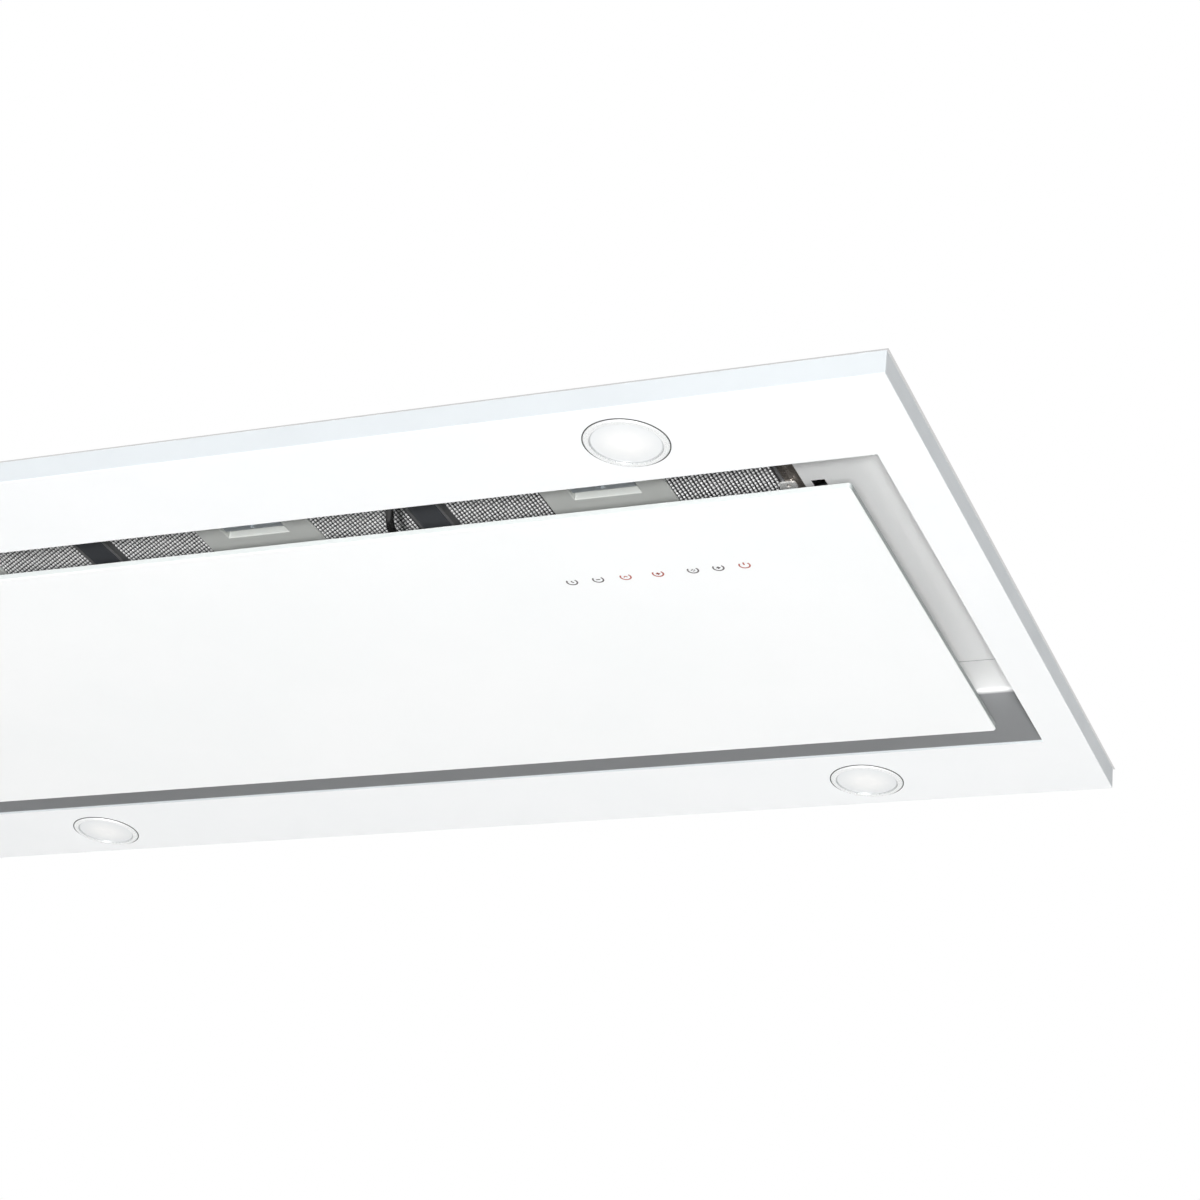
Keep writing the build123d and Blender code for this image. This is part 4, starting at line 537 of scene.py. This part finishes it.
def flat_ring(name, outer, inner, low_z, high_z, slot, body):
    """A flat piece with a hole. outer and inner have as many points, both anticlockwise from above."""
    count = len(outer)
    points = [(x, y, z) for z in (low_z, high_z) for x, y in outer + inner]
    faces = []
    for n in range(count):
        m = (n + 1) % count
        top = 2 * count
        faces.append((n, n + count, m + count, m))
        faces.append((n + top, m + top, m + count + top, n + count + top))
        faces.append((n, m, m + top, n + top))
        faces.append((m + count, n + count, n + count + top, m + count + top))
    return mesh_piece(name, points, faces, slot, body)


def circle(x, y, radius, steps, first=0.0):
    """Points on a circle, anticlockwise."""
    angles = [first + 2 * math.pi * n / steps for n in range(steps)]
    return [(x + radius * math.cos(a), y + radius * math.sin(a)) for a in angles]


# The thin dark seal round each lamp, between its bezel and the painted frame. Its black also stands
# for the shadow in that gap: painted shade
GASKET_INNER = 23.7 * MM
GASKET_OUTER = 24.35 * MM
GASKET_PROUD = 0.3 * MM
RING_STEPS = 96


def shadow_gap_gaskets():
    """A seal round each of the four lamps, under the face of the frame. Its black is also painted shade."""
    face_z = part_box("surround_frame")[0].z
    places = [(-LAMP_X, -LAMP_Y), (LAMP_X, -LAMP_Y), (LAMP_X, LAMP_Y), (-LAMP_X, LAMP_Y)]
    for number, (x, y) in enumerate(places, 1):
        outer = circle(x, y, GASKET_OUTER, RING_STEPS)
        inner = circle(x, y, GASKET_INNER, RING_STEPS)
        name = f"shadow_gap_gasket_{number}"
        flat_ring(name, outer, inner, face_z - GASKET_PROUD, face_z, "black_rubber", "hood")


shadow_gap_gaskets()

# A small bright clip at each end rail, with a hole, that keeps the outer filter in its place
CLIP_X = 342 * MM
CLIP_Y = -94 * MM
CLIP_LENGTH = 10 * MM
CLIP_WIDTH = 7 * MM
CLIP_THICK = 1.0 * MM
CLIP_CORNER = 1.6 * MM
CLIP_HOLE = 1.7 * MM
CLIP_STEPS = 32
CLIP_STEEL = sheet_metal("clip_steel", (0.88, 0.88, 0.86), 0.28, bare=0.25)


def rail_clips():
    """A flat clip with round corners under each end rail."""
    ledge_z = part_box("end_rails")[0].z
    for side in (-1, 1):
        outer = []
        for n in range(CLIP_STEPS):
            angle = 2 * math.pi * (n + 0.5) / CLIP_STEPS
            reach_x = math.copysign(CLIP_LENGTH / 2 - CLIP_CORNER, math.cos(angle))
            reach_y = math.copysign(CLIP_WIDTH / 2 - CLIP_CORNER, math.sin(angle))
            x = side * CLIP_X + reach_x + CLIP_CORNER * math.cos(angle)
            y = CLIP_Y + reach_y + CLIP_CORNER * math.sin(angle)
            outer.append((x, y))
        inner = circle(side * CLIP_X, CLIP_Y, CLIP_HOLE, CLIP_STEPS, math.pi / CLIP_STEPS)
        name = "rail_clip_left" if side < 0 else "rail_clip_right"
        clip = flat_ring(name, outer, inner, ledge_z - CLIP_THICK, ledge_z, "bright_steel", "hood")
        repaint(clip, CLIP_STEEL)


rail_clips()

# The lead from the touch board to the control box. These are the points of its route, in mm
LEAD_DIAMETER = 5 * MM
LEAD_ROUND_STEPS = 6
LEAD_ROUTE_STEPS = 24
LEAD_ORDER = 3
LEAD_POINTS = [
    (180, -80, -9.2),
    (152, -80, -9.2),
    (129, -87, -9.0),
    (115.5, -107, -8.8),
    (113.2, -136, -8.2),
    (117.5, -153.5, 8),
    (119.8, -157.5, 31),
    (121.5, -160, 74),
    (132, -159, 138),
    (145, -157, 198),
    (150, -158, 257),
]


def panel_lead():
    """The black lead, round in section, along a fixed route from the panel up to the control box."""
    curve = bpy.data.curves.new("panel_lead_route", "CURVE")
    curve.dimensions = "3D"
    curve.bevel_depth = LEAD_DIAMETER / 2
    curve.bevel_resolution = LEAD_ROUND_STEPS
    curve.resolution_u = LEAD_ROUTE_STEPS
    curve.use_fill_caps = True
    spline = curve.splines.new("NURBS")
    spline.points.add(len(LEAD_POINTS) - 1)
    for point, place in zip(spline.points, LEAD_POINTS):
        point.co = (*[c * MM for c in place], 1)
    spline.order_u = LEAD_ORDER
    spline.use_endpoint_u = True
    route = bpy.data.objects.new("panel_lead_route", curve)
    mesh = bpy.data.meshes.new_from_object(route)
    mesh.polygons.foreach_set("use_smooth", [True] * len(mesh.polygons))
    piece = bpy.data.objects.new("lead_jacket", mesh)
    bpy.context.scene.collection.objects.link(piece)
    dress(piece, "black_jacket")
    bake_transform(piece)
    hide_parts("panel_lead")


panel_lead()

# Seven touch marks printed on the glass: an open ring with a small sign in it. Their places along the
# glass are in mm, the ring's opening is in degrees, and the angles of a sign's rays are in radians
MARK_PLACES = (206.9, 223.5, 240.9, 261.2, 282.9, 298.5, 314.5)
MARK_RED = (3, 4, 7)
MARK_Y = -81.0 * MM
MARK_RADIUS = 3.15 * MM
MARK_LINE = 1.0 * MM
MARK_OPENING = 100
MARK_DEPTH = 0.04 * MM
MARK_STEPS = 40
SIGN = 1.35 * MM
RAY_ANGLES = (0, 1.57, 3.14, 4.71)
RAY_START = 0.45


def stroke(points, width):
    """A flat printed line along points, with its top at the glass. Returns points and faces."""
    points = [Vector(p) for p in points]
    corners, faces = [], []
    for n, p in enumerate(points):
        along = (points[min(n + 1, len(points) - 1)] - points[max(n - 1, 0)]).normalized()
        side = Vector((-along.y, along.x, 0)) * (width / 2)
        for z in (0, -MARK_DEPTH):
            corners += [p - side + Vector((0, 0, z)), p + side + Vector((0, 0, z))]
    for n in range(len(points) - 1):
        a, b = 4 * n, 4 * n + 4
        faces += [(a, b, b + 1, a + 1), (a + 2, a + 3, b + 3, b + 2)]
        faces += [(a, a + 2, b + 2, b), (a + 1, b + 1, b + 3, a + 3)]
    last = 4 * len(points) - 4
    faces += [(0, 1, 3, 2), (last, last + 2, last + 3, last + 1)]
    return corners, faces


def sign_strokes(number):
    """The lines of the sign in a mark: a hand, a bar, an arrow, a cross, four rays or a stem."""
    s = SIGN
    level = [(-s, 0, 0), (s, 0, 0)]
    upright = [(0, -s, 0), (0, s, 0)]
    stem = [(0, -MARK_RADIUS, 0), (0, -0.2 * s, 0)]
    hand = [(0, -s, 0), (0, 0, 0), (0.8 * s, 0.5 * s, 0)]
    rays = []
    for a in RAY_ANGLES:
        rays.append([(reach * math.cos(a), reach * math.sin(a), 0) for reach in (RAY_START * s, s)])
    arrow = [(-0.8 * s, 0.3 * s, 0), (0, -0.6 * s, 0), (0.8 * s, 0.3 * s, 0)]
    cross = [level, upright]
    return {1: [hand], 2: [level], 3: [arrow], 4: cross, 5: rays, 6: cross, 7: [stem]}[number]


def touch_mark(number, x):
    """One touch mark on the underside of the glass."""
    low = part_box("glass_panel")[0]
    first = math.radians(-90 + MARK_OPENING / 2)
    turn = math.radians(360 - MARK_OPENING)
    angles = [first + turn * n / MARK_STEPS for n in range(MARK_STEPS + 1)]
    ring = [(MARK_RADIUS * math.cos(a), MARK_RADIUS * math.sin(a), 0) for a in angles]
    points, faces = [], []
    for line in [ring] + sign_strokes(number):
        corners, around = stroke(line, MARK_LINE)
        faces += [[len(points) + c for c in face] for face in around]
        points += corners
    middle = Vector((x, MARK_Y, low.z))
    piece = mesh_piece(f"touch_mark_{number}", [p + middle for p in points], faces, "black_plastic", "panel")
    repaint(piece, INKS["red" if number in MARK_RED else "grey"])


def ink(name, color):
    """Screen-printed ink, a little uneven."""
    look = Look(name, color, roughness=0.5)
    look.paint(look.mix(look.noise(0.4 * MM, 2), color, [c * 0.75 for c in color]))
    look.bump(look.noise(0.2 * MM, 2), 0.005 * MM)
    return look.material


INKS = {"red": ink("red_ink", (0.38, 0.07, 0.045)), "grey": ink("grey_ink", (0.085, 0.07, 0.072))}
for number, x in enumerate(MARK_PLACES, 1):
    touch_mark(number, x * MM)

# ---------------------------------------------------------------- floor, ceiling, light

FLOOR_LEVEL = -3.6
FLOOR_REACH = 25
FLOOR_COLOR = (0.86, 0.86, 0.86)
FLOOR_ROUGHNESS = 0.9
FLOOR_WHITENING = 0.6
FLOOR_MIRRORED = 0.92
CEILING_REACH = 3.0
CEILING_GAP = 0.2 * MM
CEILING_LEVEL = 1.0
# A thin grey line of painted shadow round the frame, where it meets the ceiling: its width, gap and grey
# level
SHADOW_LINE_WIDTH = 1.2 * MM
SHADOW_LINE_GAP = 0.1 * MM
SHADOW_LINE_LEVEL = 0.62
WORLD_LEVEL = 0.22

# Each lamp's place, target, size and power. The key lamp is small, so that shadows keep a narrow edge
LAMPS = {
    "key": ((2.07, -4.68, -2.87), (0.05, 0, 0), 0.55, 336),
    "below": ((0.1, -0.3, -3.3), (0, 0, 0), 2.5, 27),
    "top": ((0.6, -1.2, 4.1), (0, 0, 0.1), 2.4, 28),
}


def square(reach):
    """The corners of a level square round the origin, anticlockwise from above."""
    return [(-reach, -reach), (reach, -reach), (reach, reach), (-reach, reach)]


def outline(low, high):
    """The corners of a box seen from above, anticlockwise."""
    return [(low.x, low.y), (high.x, low.y), (high.x, high.y), (low.x, high.y)]


def staging(name, points, faces):
    """A flat piece of the surroundings, and its material's nodes."""
    mesh = bpy.data.meshes.new(name)
    mesh.from_pydata(points, [], faces)
    piece = bpy.data.objects.new(name, mesh)
    bpy.context.scene.collection.objects.link(piece)
    material = bpy.data.materials.new(name)
    material.use_nodes = True
    piece.data.materials.append(material)
    return material.node_tree


def plain_view(tree):
    """1 for what the camera sees itself, in a mirror or through glass, and 0 for light."""
    path = tree.nodes.new("ShaderNodeLightPath")
    seen = path.outputs["Is Camera Ray"]
    for ray in ("Is Glossy Ray", "Is Transmission Ray"):
        either = tree.nodes.new("ShaderNodeMath")
        either.operation = "MAXIMUM"
        tree.links.new(seen, either.inputs[0])
        tree.links.new(path.outputs[ray], either.inputs[1])
        seen = either.outputs[0]
    return seen


def floor():
    """A wide pale floor far below. The camera sees it paler than it is lit."""
    corners = [(x, y, FLOOR_LEVEL) for x, y in square(FLOOR_REACH)]
    tree = staging("floor", corners, [(0, 1, 2, 3)])
    shader = tree.nodes["Principled BSDF"]
    shader.inputs["Base Color"].default_value = (*FLOOR_COLOR, 1)
    shader.inputs["Roughness"].default_value = FLOOR_ROUGHNESS
    white = tree.nodes.new("ShaderNodeEmission")
    path = tree.nodes.new("ShaderNodeLightPath")
    share = tree.nodes.new("ShaderNodeMapRange")
    share.inputs["To Min"].default_value = FLOOR_MIRRORED
    share.inputs["To Max"].default_value = FLOOR_WHITENING
    seen = tree.nodes.new("ShaderNodeMath")
    seen.operation = "MULTIPLY"
    mix = tree.nodes.new("ShaderNodeMixShader")
    tree.links.new(path.outputs["Is Camera Ray"], share.inputs["Value"])
    tree.links.new(share.outputs[0], seen.inputs[0])
    tree.links.new(plain_view(tree), seen.inputs[1])
    tree.links.new(seen.outputs[0], mix.inputs[0])
    tree.links.new(shader.outputs[0], mix.inputs[1])
    tree.links.new(white.outputs[0], mix.inputs[2])
    tree.links.new(mix.outputs[0], tree.nodes["Material Output"].inputs["Surface"])


def ceiling():
    """The plain white ceiling round the hood, in the plane of the surround frame's back, and a thin grey
    line of painted shadow where the frame meets it. Both are there for a camera below them. From above
    they are clear, so that the housing shows down to the frame."""
    housing = outline(*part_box("housing_top"))
    overhead("ceiling", square(CEILING_REACH), housing, CEILING_GAP, CEILING_LEVEL)
    inner = outline(*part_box("surround_frame"))
    outer = [(x + math.copysign(SHADOW_LINE_WIDTH, x), y + math.copysign(SHADOW_LINE_WIDTH, y)) for x, y in inner]
    overhead("ceiling_shadow_line", outer, inner, SHADOW_LINE_GAP, SHADOW_LINE_LEVEL)


def overhead(name, outer, inner, z, level):
    """A flat surround of that level, between two outlines, that only a camera below it sees."""
    points = [(x, y, z) for x, y in outer + inner]
    tree = staging(name, points, [(n, n + 4, (n + 1) % 4 + 4, (n + 1) % 4) for n in range(4)])
    tree.nodes.remove(tree.nodes["Principled BSDF"])
    white = tree.nodes.new("ShaderNodeEmission")
    white.inputs["Color"].default_value = (level, level, level, 1)
    clear = tree.nodes.new("ShaderNodeBsdfTransparent")
    path = tree.nodes.new("ShaderNodeLightPath")
    side = tree.nodes.new("ShaderNodeNewGeometry")
    below = tree.nodes.new("ShaderNodeMath")
    below.operation = "SUBTRACT"
    below.use_clamp = True
    mix = tree.nodes.new("ShaderNodeMixShader")
    tree.links.new(path.outputs["Is Camera Ray"], below.inputs[0])
    tree.links.new(side.outputs["Backfacing"], below.inputs[1])
    tree.links.new(below.outputs[0], mix.inputs[0])
    tree.links.new(clear.outputs[0], mix.inputs[1])
    tree.links.new(white.outputs[0], mix.inputs[2])
    tree.links.new(mix.outputs[0], tree.nodes["Material Output"].inputs["Surface"])


def lamp(name, place, target, size, power):
    """A square soft light."""
    data = bpy.data.lights.new(name, "AREA")
    data.size = size
    data.energy = power
    light = bpy.data.objects.new(name, data)
    light.location = place
    light.rotation_mode = "QUATERNION"
    light.rotation_quaternion = (Vector(target) - Vector(place)).to_track_quat("-Z", "Y")
    light.visible_camera = False
    bpy.context.scene.collection.objects.link(light)


def world(level):
    """Even light of that level, which the camera, mirrors and glass see as white."""
    made = bpy.data.worlds.new("studio")
    bpy.context.scene.world = made
    made.use_nodes = True
    tree = made.node_tree
    back = tree.nodes["Background"]
    strength = tree.nodes.new("ShaderNodeMapRange")
    strength.inputs["To Min"].default_value = level
    strength.inputs["To Max"].default_value = 1.0
    tree.links.new(plain_view(tree), strength.inputs["Value"])
    tree.links.new(strength.outputs[0], back.inputs["Strength"])
    back.inputs["Color"].default_value = (1, 1, 1, 1)


floor()
ceiling()
world(WORLD_LEVEL)
for name, (place, target, size, power) in LAMPS.items():
    lamp(name, place, target, size, power)

bpy.context.scene.view_settings.view_transform = "Standard"
